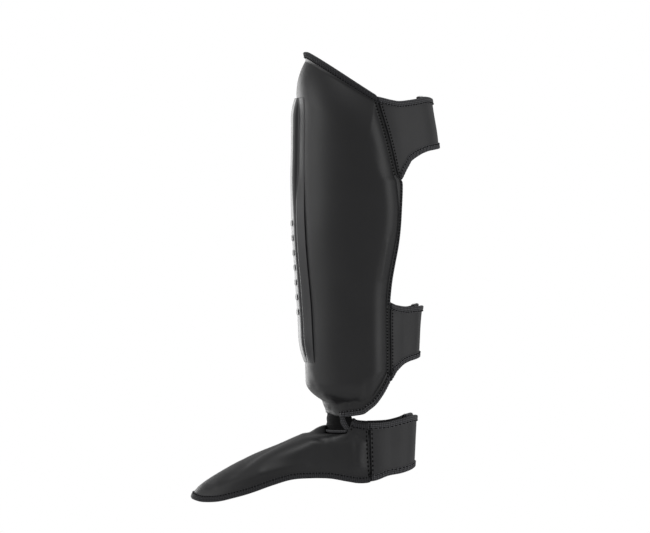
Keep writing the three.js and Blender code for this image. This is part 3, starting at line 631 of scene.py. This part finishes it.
def make_stitches(name: str, runs: list[Run], material: Material, pitch: float = STITCH_PITCH) -> Piece:
    """Rows of lock stitches. Each is a short spindle: six sides round, radius following a half sine along its
    length, sunk a little at its ends.

    Args: name, the piece's name; runs, paths of points with their normals; material, the thread's material;
    pitch, distance from stitch to stitch.
    Returns: the object.
    """
    sides, rings = 6, 5
    spin = np.linspace(0, 2 * math.pi, sides, endpoint=False)
    t = np.linspace(0, 1, rings)
    swell = 0.35 + 0.65 * np.sin(math.pi * t)
    points: list[Array] = []
    for path, normal in runs:
        travel = travelled(path)
        count = max(int(travel[-1] / pitch), 1)
        at = (np.arange(count) + 0.5) * travel[-1] / count
        middle, up = sample(path, travel, at), unit(sample(normal, travel, at))
        later, earlier = np.minimum(at + 0.6, travel[-1]), np.maximum(at - 0.6, 0)
        ahead = unit(sample(path, travel, later) - sample(path, travel, earlier))
        across = unit(np.cross(up, ahead))
        reach = ahead[:, None, :] * ((t - 0.5) * pitch * STITCH_SHARE)[None, :, None]
        sink = up[:, None, :] * (0.5 * np.sin(math.pi * t) - 0.25)[None, :, None]
        spine = middle[:, None, :] + reach + sink * THREAD_RADIUS
        ring = across[:, None, None, :] * np.cos(spin)[:, None] + up[:, None, None, :] * np.sin(spin)[:, None]
        tube = spine[:, :, None, :] + ring * (THREAD_RADIUS * swell)[None, :, None, None]
        points.append(tube.reshape(-1, 3))
    cloud = np.concatenate(points)
    stitches = len(cloud) // (sides * rings)
    k, r, s = np.meshgrid(np.arange(stitches), np.arange(rings - 1), np.arange(sides), indexing="ij")
    base = k * sides * rings
    a, b = base + r * sides + s, base + r * sides + (s + 1) % sides
    quads = np.stack([a, b, b + sides, a + sides], axis=-1).reshape(-1, 4)
    return settle(make_object(name, cloud, quads, [material]), "tape")


def make_fuzz(name: str, roots: Array, material: Material, seed: int) -> Piece:
    """Frayed fibres of a closure, upright on the whole. Each is a tapering three-sided spike, its root, lean
    and length drawn from seeded uniform spreads.

    Args: name, the piece's name; roots, where fibres may start; material, their material; seed, of the
    random draws.
    Returns: the object.
    """
    draw = np.random.default_rng(seed)
    pick = draw.integers(0, len(roots), FIBRES)
    root = roots[pick] + draw.uniform(-ROOT_SPREAD, ROOT_SPREAD, (FIBRES, 3))
    way = unit(np.array([0.0, 0.0, 1.0]) + draw.uniform(-LEAN_SPREAD, LEAN_SPREAD, (FIBRES, 3)))
    side = unit(np.cross(way, np.array([0.3, 0.5, 0.8])))
    other = np.cross(way, side)
    spin = np.linspace(0, 2 * math.pi, 3, endpoint=False)
    ring = side[:, None] * np.cos(spin)[:, None] + other[:, None] * np.sin(spin)[:, None]
    reach = draw.uniform(0.8, 2.6, (FIBRES, 1, 1))
    foot, tip = root[:, None] + ring * ROOT_RADIUS, root[:, None] + ring * TIP_RADIUS + way[:, None] * reach
    spikes = np.concatenate([foot, tip], axis=1)
    k, s = np.meshgrid(np.arange(FIBRES) * 6, np.arange(3), indexing="ij")
    turn = k + (s + 1) % 3
    quads = np.stack([k + s, turn, turn + 3, k + s + 3], -1).reshape(-1, 4)
    return make_object(name, spikes.reshape(-1, 3), quads, [material])


# Sub-assemblies


@dataclass
class Shell:
    """Padded shin shell with its bindings."""

    finishes: Finishes
    front_pad: float = 19.5
    side_pad: float = 14.0
    flap: float = 13.0
    rear_roll: float = 17.0
    top_roll: float = 40.0
    bottom_roll: float = 20.0
    top_drop: float = 0.1247 * SHIN_HEIGHT
    hem_height: float = 4.6
    heel_cut: float = 0.1143 * SHIN_HEIGHT
    front_taper: float = 3.3
    tuck: float = 0.4
    grid: int = 181

    def hem(self, share: Array) -> Array:
        """Height of the bottom edge at a share of the wrap."""
        return self.hem_height + self.heel_cut * read_rows(HEM_ROWS, 1, share)

    def crown(self, share: Array) -> Array:
        """Height of the top edge, which lies in one slanting plane."""
        reach = math.radians(float(LEG.wrap(SHIN_HEIGHT - self.top_drop)))
        return SHIN_HEIGHT - self.top_drop * (1 - np.cos(share * reach)) / (1 - math.cos(reach))

    def steepness(self, edge: Callable[[Array], Array], share: Array, z: Array) -> Array:
        """How much a climbing edge narrows a distance measured straight up from it."""
        climb = (edge(np.minimum(share + 0.02, 1)) - edge(np.maximum(share - 0.02, 0))) / 0.04
        return 1 / np.hypot(1, climb / (LEG.wrap(z) * LEG.arc(z)))

    def thickness(self, angle: Array, z: Array) -> Array:
        """Shell thickness: full foam between parabolic rolls to the sewn margins.

        Args: angle, degrees from the shin; z, heights.
        Returns: the thickness.
        """
        wrap = LEG.wrap(z)
        share = np.clip(np.abs(angle) / wrap, 0, 1)
        facing = np.maximum(np.cos(np.radians(angle)), 0)
        full = self.side_pad + (self.front_pad - self.side_pad) * facing**2
        flap = self.flap + (FLANGE - self.flap) * smoothstep(share, 0.6, 0.8)
        margin = read_rows(MARGIN_ROWS, 1, z / SHIN_HEIGHT)
        part = np.minimum.reduce([
            foam((wrap - np.abs(angle)) * LEG.arc(z), margin, self.rear_roll),
            foam((self.crown(share) - z) * self.steepness(self.crown, share, z), FLANGE, self.top_roll),
            foam((z - self.hem(share)) * self.steepness(self.hem, share, z), flap, self.bottom_roll),
        ])
        return EDGE + (full - EDGE) * part

    def relief(self, angle: Array, z: Array) -> Array:
        """Small hollows and swells of the foam under its cover: slow waves, folds, a tuck at the bottom of
        the padding, a tapered flap under it, and a dip at the rear seam.

        Args: angle, degrees from the shin; z, heights.
        Returns: what the thickness gains.
        """
        share = np.clip(np.abs(angle) / LEG.wrap(z), 0, 1)
        inside = smoothstep(1 - share, 0.02, 0.16) * smoothstep(self.crown(share) - z, 6, 40)
        over_hem = z - self.hem(share)
        slow = inside * waves(SHELL_WAVES, z, angle) * smoothstep(over_hem, 8, 34)
        front = smoothstep(0.47 - share, 0, 0.24)
        taper = -self.front_taper * smoothstep(-over_hem, -self.flap, 0) * front
        tuck = -self.tuck * bump(over_hem, self.flap - 1.2, 2.6) * smoothstep(0.4 - share, 0, 0.12)
        seam = seam_form((1 - share) * LEG.wrap(z) * LEG.arc(z))
        folds = press(LEG.point(angle, z, self.thickness(angle, z)), SHELL_FOLDS)
        return slow + folds * smoothstep(1 - share, 0.03, 0.1) + tuck + taper + seam

    def skin(self, column: Array, row: Array, side: float) -> Array:
        """Points of the shell.

        Args: column, share of the wrap, negative on the right; row, share of the height between hem and
        crown; side, 1 for the outer skin, 0 for the inner.
        Returns: the points.
        """
        share = np.abs(column)
        z = self.hem(share) + (self.crown(share) - self.hem(share)) * row
        angle = column * LEG.wrap(z)
        return LEG.point(angle, z, side * (self.thickness(angle, z) + self.relief(angle, z)))

    def build(self) -> None:
        """Makes the shell, its five bindings and their stitches."""
        line = np.linspace(-1, 1, self.grid)
        columns = np.sign(line) * (0.75 * np.abs(line) + 0.25 * (1 - (1 - np.abs(line)) ** 2))
        edge = np.linspace(0.965, 1, 18)
        columns = np.unique(np.concatenate([columns, edge, -edge]).round(4))
        ease = 0.5 - 0.5 * np.cos(np.linspace(0, math.pi, self.grid))
        rows = 0.6 * np.linspace(0, 1, self.grid) + 0.4 * ease
        shell = make_sheet("shell", self.skin, columns, rows, [self.finishes.cover, self.finishes.lining])
        settle(shell, "cover", "shin_shell")
        top = Rim(self.skin, np.linspace(-0.999, 0.999, 401), 1.0, (0, -1))
        make_tape("top_tape", "top_binding", top, self.finishes.painted_shade_tape, gather=0.3)
        runs = [top.run()]
        for side in Side:
            label, sign = side.name.lower(), side.value
            rear = Rim(self.skin, float(sign), np.linspace(*self.strap_edges(), 240), (-sign, 0))
            make_tape(f"rear_tape_{label}", f"rear_binding_{label}", rear, self.finishes.tape,
                      REAR_TAPE_WIDTH)
            runs.append(rear.run(REAR_TAPE_WIDTH - 1.1))
            low = Rim(self.skin, sign * np.linspace(0.42, 0.997, 300), 0.0, (0, 1))
            make_tape(f"hem_tape_{label}", f"hem_binding_{label}", low, self.finishes.tape, gather=0.42,
                      free=True)
            runs.append(low.run())
        make_stitches("shell_stitches", runs, self.finishes.thread)

    def strap_edges(self) -> tuple[float, float]:
        """Shares of the rear edge that are free between the two straps."""
        clear = GAP + TAPE
        low = LOWER_STRAP[0] + LOWER_STRAP[1] * LOWER_ROWS[0, 1] + clear
        high = UPPER_STRAP[0] + UPPER_STRAP[1] * UPPER_ROWS[0, 2] - clear
        hem, crown = float(self.hem(1.0)), float(self.crown(1.0))
        return (low - hem) / (crown - hem), (high - hem) / (crown - hem)

    def seam_run(self, side: Side, low: float, high: float, distance: float) -> Run:
        """A stitch row beside the rear seam.

        Args: side, of the leg; low, its lowest height; high, its highest; distance, from the seam.
        Returns: the path and its normals.
        """
        z = np.linspace(low, high, 60)
        column = side.value * (1 - distance / (LEG.wrap(z) * LEG.arc(z)))
        hem, crown = self.hem(np.abs(column)), self.crown(np.abs(column))
        return skin_run(self.skin, column, (z - hem) / (crown - hem), COVER_LIFT)


@dataclass
class Ridge:
    """Raised panel down the shin, with plain cross bars pressed into it."""

    finishes: Finishes
    shell: Shell
    height: float = 6.0
    half: float = 33.0
    bottom: float = 0.1584 * SHIN_HEIGHT
    top: float = 0.8766 * SHIN_HEIGHT
    bar_count: int = 7
    bar_pitch: float = 15.5
    bar_height: float = 6.0
    bar_width: float = 27.0
    bar_relief: float = 0.9
    bar_middle: float = 0.4156 * SHIN_HEIGHT
    wave: float = 0.25
    sink: float = 0.25

    def relief(self, across: Array, up: Array) -> Array:
        """Height over the shell: centre bar and side ribs, rounded off at both ends, plus the cross bars.

        Args: across, share of the half width; up, share of the length.
        Returns: the height.
        """
        share = np.abs(across)
        length = self.top - self.bottom
        ends = np.minimum(foam((1 - up) * length, -4, 26), foam(up * length, -1, 30))
        ribs = smoothstep(1 - up, 0.25, 0.47)
        form = read_rows(RIDGE_ROWS, 1, share) + read_rows(RIDGE_ROWS, 2, share) * ribs
        z = self.bottom + length * up
        most = self.bar_count // 2
        k = np.clip(np.round((z - self.bar_middle) / self.bar_pitch), -most, most)
        off = np.abs(z - self.bar_middle - k * self.bar_pitch)
        bars = smoothstep(-off, -self.bar_height / 2 - 0.5, -self.bar_height / 2 + 0.9)
        bars = bars * smoothstep(-share * self.half, -self.bar_width / 2 - 0.5, -self.bar_width / 2 + 0.9)
        return self.height * form * ends + self.bar_relief * bars

    def skin(self, across: Array, up: Array, side: float) -> Array:
        """Points of the ridge, which rests on the shell's cover and sinks into it a little beside its top.

        Args: across, share of the half width along the leg's arc; up, share of the length; side, 1 for the
        outer skin, 0 for the inner.
        Returns: the points.
        """
        z = self.bottom + (self.top - self.bottom) * up
        _, _, half = LEG.section(z)
        angle = np.degrees(across * self.half / (half + self.shell.front_pad))
        border = 1 - smoothstep(1 - np.abs(across), 0, 0.04)
        bonded = border * smoothstep(up, 0.5, 0.72)
        rest = self.shell.thickness(angle, z) + self.shell.relief(angle, z) + GAP - (GAP + self.sink) * bonded
        rise = self.relief(across, up) + self.wave * np.sin(z / 23) * (1 - np.abs(across))
        return LEG.point(angle, z, rest + side * rise)

    def build(self) -> None:
        """Makes the ridge."""
        columns, rows = np.linspace(-1, 1, 101), np.linspace(0, 1, 331)
        ridge = make_sheet("ridge", self.skin, columns, rows, [self.finishes.ridge])
        settle(ridge, "ridge", "shin_ridge")


@dataclass
class StrapPair:
    """A long strap end, the tab it closes over, and the loop patch between them."""

    name: str
    finishes: Finishes
    middle: float
    height: float
    rows: Array
    seam: Callable[[Array], Array]
    beside: Callable[[Side, float, float, float], Run]
    stitch_off: float = 3.0
    pitch: float = STITCH_PITCH
    end: float = 1.375
    shown: tuple[float, float] = (1.36, 0.62)
    tab_lift: float = 2.2
    slack: float = 0.32
    patch_margin: float = 6.5
    frayed: float = 0.12
    tab_floor: float = field(init=False, default=1.5 * GAP + TAPE)

    def __post_init__(self) -> None:
        """Works out the tab's top, the long end's height over it, and the stem of the pieces' names."""
        self.tab_top = self.tab_floor + STRAP
        self.over = self.tab_top + 3 * GAP + PATCH + TAPE
        self.label = self.name.replace("strap", "band")

    def edge(self, which: int, turn: Array) -> Array:
        """Height of the strap's top (1) or bottom (2) edge at a turn."""
        return self.middle + self.height * read_rows(self.rows, which, turn)

    def skin(self, side: Side, tab: bool, margin: float = 0.0, floor: float | None = None,
             thick: float = STRAP) -> Place:
        """The sheet of one strap end or of the patch.

        Args: side, where it is sewn; tab, whether it is the short end; margin, how much narrower than the
        strap it is at each edge; floor, its height off the leg where it lies flat, without slack; thick,
        its thickness.
        Returns: the sheet's points by a turn from the seam round the leg and a share up between its edges.
        """

        def place(turn: Array, share: Array, skin: float) -> Array:
            """Points of the sheet: its slack lies in slow waves, and a groove runs beside its seam.

            Args: turn, from the seam round the leg; share, up between the edges; skin, 1 outside and 0 inside.
            Returns: the points.
            """
            rise = self.tab_lift * smoothstep(turn, 0.5, 1) if tab else 0.0
            low, high = self.edge(2, turn) + rise + margin, self.edge(1, turn) + rise - margin
            z = low + (high - low) * share
            start = self.seam(z) + GAP / LEG.arc(z)
            angle = start + (180 - start) * turn
            level, wave = floor, 0.0
            if floor is None:
                climb = 0.0 if tab else (self.over - self.tab_floor) * smoothstep(turn, 0.3, 0.7)
                level = self.tab_floor + climb
                slack = self.slack * smoothstep(turn, 0.02, 0.2) * np.sin(turn * 9 + share * 2.1)
                wave = slack * (1 - np.abs(2 * share - 1)) + seam_form((angle - start) * LEG.arc(z)) * skin
            return LEG.point(side.value * angle, z, level + wave + skin * thick)

        return place

    def build(self) -> None:
        """Makes both ends with their tapes, the patch, the frayed fibres and the stitches."""
        runs: list[Run] = []
        turns = np.concatenate([np.linspace(-0.022, 0.1, 51), np.linspace(0.108, self.end, 160)])
        for side, tab in ((Side.LEFT, False), (Side.RIGHT, True)):
            skin = self.skin(side, tab)
            tail = "_tab" if tab else ""
            order = turns if side is Side.LEFT else turns[::-1]
            sheet = make_sheet(self.label + tail, skin, order, np.linspace(0, 1, 41), [self.finishes.strap])
            settle(sheet, "strap", self.name + tail)
            seen = turns[(turns > 0.005) & (turns < self.shown[tab])]
            for edge, row, way, gather in (("top", 1.0, -1, 0.1), ("bottom", 0.0, 1, 0.36)):
                rim = Rim(skin, turns, row, (0, way))
                make_tape(f"{self.label}{tail}_{edge}_tape", f"{self.name}{tail}_{edge}_binding", rim,
                          self.finishes.tape, gather=gather)
                runs.append(Rim(skin, seen, row, (0, way)).run())
            up = np.linspace(0.05, 0.95, 60)
            start = float(self.seam(self.middle))
            turn = self.stitch_off / ((180 - start) * float(LEG.arc(self.middle)))
            runs.append(skin_run(skin, np.full_like(up, turn), up, STRAP_LIFT))
            low, high = float(self.edge(2, np.array(0.0))), float(self.edge(1, np.array(0.0)))
            runs.append(self.beside(side, low + 3, high - 4, self.stitch_off))
        self.close()
        make_stitches(f"{self.name}_stitches", runs, self.finishes.thread, self.pitch)

    def close(self) -> None:
        """Makes the loop patch between the two ends, and the fibres that fray at the tab's top corner."""
        patch = self.skin(Side.RIGHT, True, self.patch_margin + 2 * GAP, self.tab_top + GAP, PATCH)
        columns, rows = np.linspace(1.2, 0.8, 31), np.linspace(0, 1, 21)
        pile = make_sheet(f"{self.label}_pile", patch, columns, rows, [self.finishes.loop])
        settle(pile, "loop", f"{self.name}_loop_patch")
        turn = np.linspace(self.end - self.frayed, self.end, 24)
        top = self.skin(Side.RIGHT, True)(turn, np.ones_like(turn), 0.5)
        settle(make_fuzz(f"{self.label}_fuzz", top, self.finishes.hook, len(self.name)), "loop")


@dataclass
class Instep:
    """Instep guard, its bottom and collar bindings, and its seam stitches."""

    finishes: Finishes
    reach: float = 189.4
    half: float = 50.5
    drop: float = INSTEP_DROP
    pad: float = 11.0
    roll: float = 15.0
    collar_height: float = -13.2
    collar_rise: float = 9.4
    stand: float = 45.0
    tongue: float = 7.6
    swell: float = 1.8
    lean: float = 4.4
    seam_top: float = 92.2
    seam_bottom: float = 98.5

    def heel_seam(self, z: Array) -> Array:
        """Angle of the heel seam at a height."""
        return self.seam_bottom + (self.seam_top - self.seam_bottom) * (np.asarray(z) + self.drop) / self.drop

    def collar(self, angle: Array) -> Array:
        """Height of the collar edge at an angle."""
        return self.collar_height + self.collar_rise * read_rows(COLLAR_ROWS, 1, np.abs(angle))

    def face(self, column: Array, up: Array) -> Array:
        """Outer skin: a cubic Bezier from the bottom edge up a side wall and over to the ankle, straight up
        from there where the collar stands, and turned into the heel seam at its rear.

        Args: column, share of the way from the toe to the heel seam, negative on the right; up, share of
        the way from the bottom edge to the collar.
        Returns: the points.
        """
        side, share = np.where(column < 0, -1.0, 1.0), np.abs(column)
        wide, far, deep, rise, lean, brow_in, fall = (read_rows(INSTEP_ROWS, k, share) for k in range(1, 8))
        off = EDGE + GAP
        edge = stack(wide * self.half, -far * self.reach, -deep * self.drop)
        angle = share * float(self.heel_seam(self.collar_height + self.collar_rise))
        base = self.collar_height + self.collar_rise * read_rows(COLLAR_BASE_ROWS, 1, angle)
        collar = LEG.point(angle, base, off)
        across = (collar - edge) * np.array([1, 1, 0])
        wall = edge + across * lean[..., None] + stack(0, 0, rise * self.drop)
        brow = collar - across * brow_in[..., None] - stack(0, 0, fall * self.drop)
        reach = np.broadcast_to(up, share.shape) * (1 + np.maximum(self.collar(angle) - base, 0) / self.stand)
        t = np.minimum(reach, 1)[..., None]
        point = edge * (1 - t) ** 3 + wall * 3 * t * (1 - t) ** 2 + brow * 3 * t * t * (1 - t) + collar * t**3
        standing = LEG.point(angle, base + np.maximum(reach - 1, 0) * self.stand, off)
        point = np.where(reach[..., None] > 1, standing, point)
        z = point[..., 2]
        seam = LEG.point(self.heel_seam(z) - 2 * GAP / LEG.arc(z), z, off)
        point = point + (seam - point) * smoothstep(share, 0.88, 1)[..., None]
        return point * stack(side, 1.0, 1.0)

    def normal(self, column: Array, up: Array) -> Array:
        """Way off the outer skin, turned to the leg's own at the heel seam.

        Args: column and up, as for the face.
        Returns: unit vectors.
        """
        e = 0.004
        along = self.face(np.minimum(column + e, 1), up) - self.face(np.maximum(column - e, -1), up)
        climb = self.face(column, np.minimum(up + e, 1)) - self.face(column, np.maximum(up - e, 0))
        n = unit(np.cross(along, climb))
        seam = np.radians(self.heel_seam(self.face(column, up)[..., 2])) * np.where(column < 0, -1, 1)
        radial = stack(np.sin(seam), -np.cos(seam), 0.0)
        return unit(n + (radial - n) * smoothstep(np.abs(column), 0.86, 0.97)[..., None])

    def distances(self, column: Array, up: Array) -> tuple[Array, Array]:
        """Straight distances over the face.

        Args: column and up, as for the face.
        Returns: the distances to the bottom edge and to the collar.
        """
        here = self.face(column, up)
        low = np.linalg.norm(here - self.face(column, np.zeros_like(up)), axis=-1)
        return low, np.linalg.norm(here - self.face(column, np.ones_like(up)), axis=-1)

    def seam_gap(self, column: Array, up: Array) -> Array:
        """Straight distance to the heel seam on the same side."""
        return np.linalg.norm(self.face(column, up) - self.face(np.where(column < 0, -1.0, 1.0), up), axis=-1)

    def thickness(self, column: Array, up: Array) -> Array:
        """Foam thickness, rolled off to the sewn margins.

        Args: column and up, as for the face.
        Returns: the thickness.
        """
        low, high = self.distances(column, up)
        seam = (1 - np.abs(column)) * self.reach
        part = np.minimum.reduce([foam(gap, FLANGE, self.roll) for gap in (low, high, seam)])
        return EDGE + (self.pad - EDGE) * part

    def relief(self, column: Array, up: Array) -> Array:
        """Soft folds, slow waves, a dip at the heel seam, and the padded tongue in front of the ankle.

        Args: column and up, as for the face.
        Returns: height over the face.
        """
        low, high = self.distances(column, up)
        inside = smoothstep(low, 6, 16) * smoothstep(high, 5, 16) * smoothstep(1 - np.abs(column), 0.01, 0.06)
        here = self.face(column, up)
        slow = waves(INSTEP_WAVES, here[..., 1], here[..., 2])
        tongue = self.tongue * bump(high, 0, 8) + self.swell * bump(high, 22, 18)
        tongue = tongue * smoothstep(0.3 - np.abs(column), 0, 0.2)
        return inside * (press(here, INSTEP_FOLDS) + slow) + seam_form(self.seam_gap(column, up)) + tongue

    def skin(self, column: Array, up: Array, side: float) -> Array:
        """Points of the guard's wall, from the outer skin inwards by its thickness.

        Args: column, as for the face; up, as for the face; side, 1 for the outer skin, 0 for the inner.
        Returns: the points.
        """
        column, up = np.broadcast_arrays(np.asarray(column, float), np.asarray(up, float))
        column, up = np.clip(column, -1, 1), np.clip(up, 0, 1)
        level = self.relief(column, up) if side else -self.thickness(column, up)
        _, high = self.distances(column, up)
        lean = self.lean * bump(high, 0, 5) * smoothstep(0.3 - np.abs(column), 0, 0.2)
        return self.face(column, up) + self.normal(column, up) * level[..., None] + stack(0.0, lean, 0.0)

    def seam_run(self, side: Side, low: float, high: float, distance: float) -> Run:
        """A stitch row beside the heel seam.

        Args: side, of the foot; low, its lowest height; high, its highest; distance, from the seam.
        Returns: the path and its normals.
        """
        up = np.linspace(0.06, 0.9, 60)
        columns = np.linspace(0.86, 1, 80)
        gaps = self.seam_gap(*np.meshgrid(side.value * columns, up))
        column = side.value * np.array([np.interp(distance, gap[::-1], columns[::-1]) for gap in gaps])
        path, normal = skin_run(self.skin, column, up, COVER_LIFT)
        keep = (path[:, 2] > low) & (path[:, 2] < high)
        return path[keep], normal[keep]

    def build(self) -> None:
        """Makes the guard, its tapes and its stitches."""
        fine = np.concatenate([np.linspace(0.69, 0.76, 25), np.linspace(0.93, 1, 28)])
        columns = np.unique(np.concatenate([np.linspace(-1, 1, 241), fine, -fine]).round(3))
        foot = make_sheet("instep_pad", self.skin, columns, np.linspace(0, 1, 101),
                          [self.finishes.cover, self.finishes.lining])
        settle(foot, "cover", "instep_guard")
        sole = Rim(self.skin, np.linspace(-0.998, 0.998, 501), 0.0, (0, 1))
        make_tape("instep_tape", "instep_binding", sole, self.finishes.painted_shade_tape)
        runs = [sole.run()]
        for side in Side:
            name = side.name.lower()
            rim = Rim(self.skin, side.value * np.linspace(0.752, 0.998, 160), 1.0, (0, -1))
            make_tape(f"collar_tape_{name}", f"collar_binding_{name}", rim, self.finishes.painted_shade_tape,
                      free=True)
            runs.append(rim.run())
        make_stitches("instep_stitches", runs, self.finishes.thread)


@dataclass
class Link:
    """Stretch panel across the front of the ankle, its rolled edges and the rolled seam over it."""

    finishes: Finishes
    instep: Instep
    bottom: float = -22.0
    top: float = 23.0
    thick: float = 2.6
    wrinkle: float = 0.3
    welt_radius: float = 1.5
    welt_lift: float = 2.6
    welt_half: float = 62.0
    welt_grid: tuple[int, int] = (121, 17)

    def skin(self, column: Array, up: Array, side: float) -> Array:
        """Points of the panel, inside the leg's line, with slight cross wrinkles.

        Args: column, share of the half width, negative on the right; up, share of the height; side, 1 for
        the outer skin, 0 for the inner.
        Returns: the points.
        """
        z = self.bottom + (self.top - self.bottom) * up
        angle = column * read_rows(LINK_ROWS, 1, up)
        wrinkles = self.wrinkle * np.sin(z * 0.8 + angle / 14) * smoothstep(1 - np.abs(column), 0.05, 0.3)
        return LEG.point(angle, z, -2 * GAP + wrinkles - (1 - side) * self.thick)

    def build(self) -> None:
        """Makes the panel, its two tapes and the rolled seam."""
        panel = make_sheet("ankle_panel", self.skin, np.linspace(-1, 1, 81), np.linspace(0, 1, 61),
                           [self.finishes.stretch])
        settle(panel, "stretch", "ankle_link")
        for side in Side:
            up = np.linspace(0, 1, 50)
            across = read_rows(LINK_TAPE_ROWS, 1, up) / read_rows(LINK_ROWS, 1, up)
            rim = Rim(self.skin, side.value * across, up, (-side.value, 0))
            name = side.name.lower()
            make_tape(f"panel_tape_{name}", f"link_binding_{name}", rim, self.finishes.tape)
        wide, high = self.welt_grid
        around = np.linspace(-self.welt_half, self.welt_half, wide)
        a, t = np.meshgrid(around, np.linspace(0, 2 * math.pi, high))
        z = self.instep.collar(a) + self.welt_lift + self.welt_radius * np.sin(t)
        points = LEG.point(a, z, self.welt_radius * (0.8 + np.cos(t)))
        uv = np.stack([a * LEG.arc(0.0), t * self.welt_radius], axis=-1).reshape(-1, 2)
        quads = grid_quads(wide, high)
        welt = make_object("ankle_roll", points.reshape(-1, 3), quads, [self.finishes.tape], uv)
        settle(welt, "tape", "ankle_welt")


@dataclass
class Studio:
    """Pale floor, soft lights and the camera at the photograph's angle. Its sizes are metres."""

    distance: float = 5.0
    field_width: float = 0.6825
    aim: tuple[float, float] = (-0.04935, 0.1612)
    fill_light: float = 0.4
    lit: tuple[float, float, float] = (0, -0.04, 0.15)
    floor_half: float = 0.85
    floor_level: float = -0.2
    sensor: float = 36

    def light(self, name: str, place: tuple[float, float, float], size: float, power: float) -> None:
        """One square area light aimed at the guard's middle.

        Args: name, the light's name; place, where it stands; size, its side; power, in watts.
        """
        data = bpy.data.lights.new(name, "AREA")
        data.size = size
        data.energy = power
        lamp = bpy.data.objects.new(name, data)
        lamp.location = place
        lamp.rotation_euler = (Vector(self.lit) - Vector(place)).to_track_quat("-Z", "Y").to_euler()
        bpy.context.scene.collection.objects.link(lamp)

    def build(self) -> None:
        """Makes the stage: a white world that lights less than it shows, lights, floor and camera."""
        scene = bpy.context.scene
        scene.view_settings.view_transform = "Standard"
        world = bpy.data.worlds.new("studio_white")
        world.use_nodes = True
        tree = world.node_tree
        back = tree.nodes["Background"]
        back.inputs["Color"].default_value = (1, 1, 1, 1)
        seen = add_node(tree, "ShaderNodeLightPath")
        level = add_node(tree, "ShaderNodeMath", {"operation": "MULTIPLY_ADD"})
        tree.links.new(seen.outputs["Is Camera Ray"], level.inputs[0])
        level.inputs[1].default_value = 1 - self.fill_light
        level.inputs[2].default_value = self.fill_light
        tree.links.new(level.outputs[0], back.inputs["Strength"])
        scene.world = world
        for name, place, size, power in LIGHTS:
            self.light(name, place, size, power)
        half, deep = self.floor_half, self.floor_level
        corners = np.array([(x * half, y * half, deep) for x, y in ((-1, -1), (1, -1), (1, 1), (-1, 1))]) / MM
        paper = bpy.data.materials.new("pale_paper")
        paper.use_nodes = True
        paper.node_tree.nodes["Principled BSDF"].inputs["Base Color"].default_value = (0.9, 0.9, 0.9, 1)
        make_object("floor", corners, np.array([[0, 1, 2, 3]]), [paper])
        data = bpy.data.cameras.new("camera")
        data.sensor_width = self.sensor
        data.lens = self.sensor * self.distance / self.field_width
        data.clip_end = 50
        camera = bpy.data.objects.new("camera", data)
        camera.location = (self.distance, *self.aim)
        camera.rotation_euler = (math.pi / 2, 0, math.pi / 2)
        scene.collection.objects.link(camera)
        scene.camera = camera


def main() -> None:
    """Builds the guard over its frame, then the stage."""
    logging.basicConfig(level=logging.INFO, format="%(name)s %(message)s")
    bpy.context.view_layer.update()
    finishes = Finishes()
    shell = Shell(finishes)
    shell.build()
    Ridge(finishes, shell).build()
    StrapPair("upper_strap", finishes, *UPPER_STRAP, UPPER_ROWS, LEG.wrap, shell.seam_run).build()
    StrapPair("lower_strap", finishes, *LOWER_STRAP, LOWER_ROWS, LEG.wrap, shell.seam_run).build()
    instep = Instep(finishes)
    StrapPair("heel_strap", finishes, *HEEL_STRAP, HEEL_ROWS, instep.heel_seam, instep.seam_run,
              stitch_off=2.4, pitch=4.4).build()
    instep.build()
    Link(finishes, instep).build()
    Studio().build()


if __name__ == "__main__":
    main()
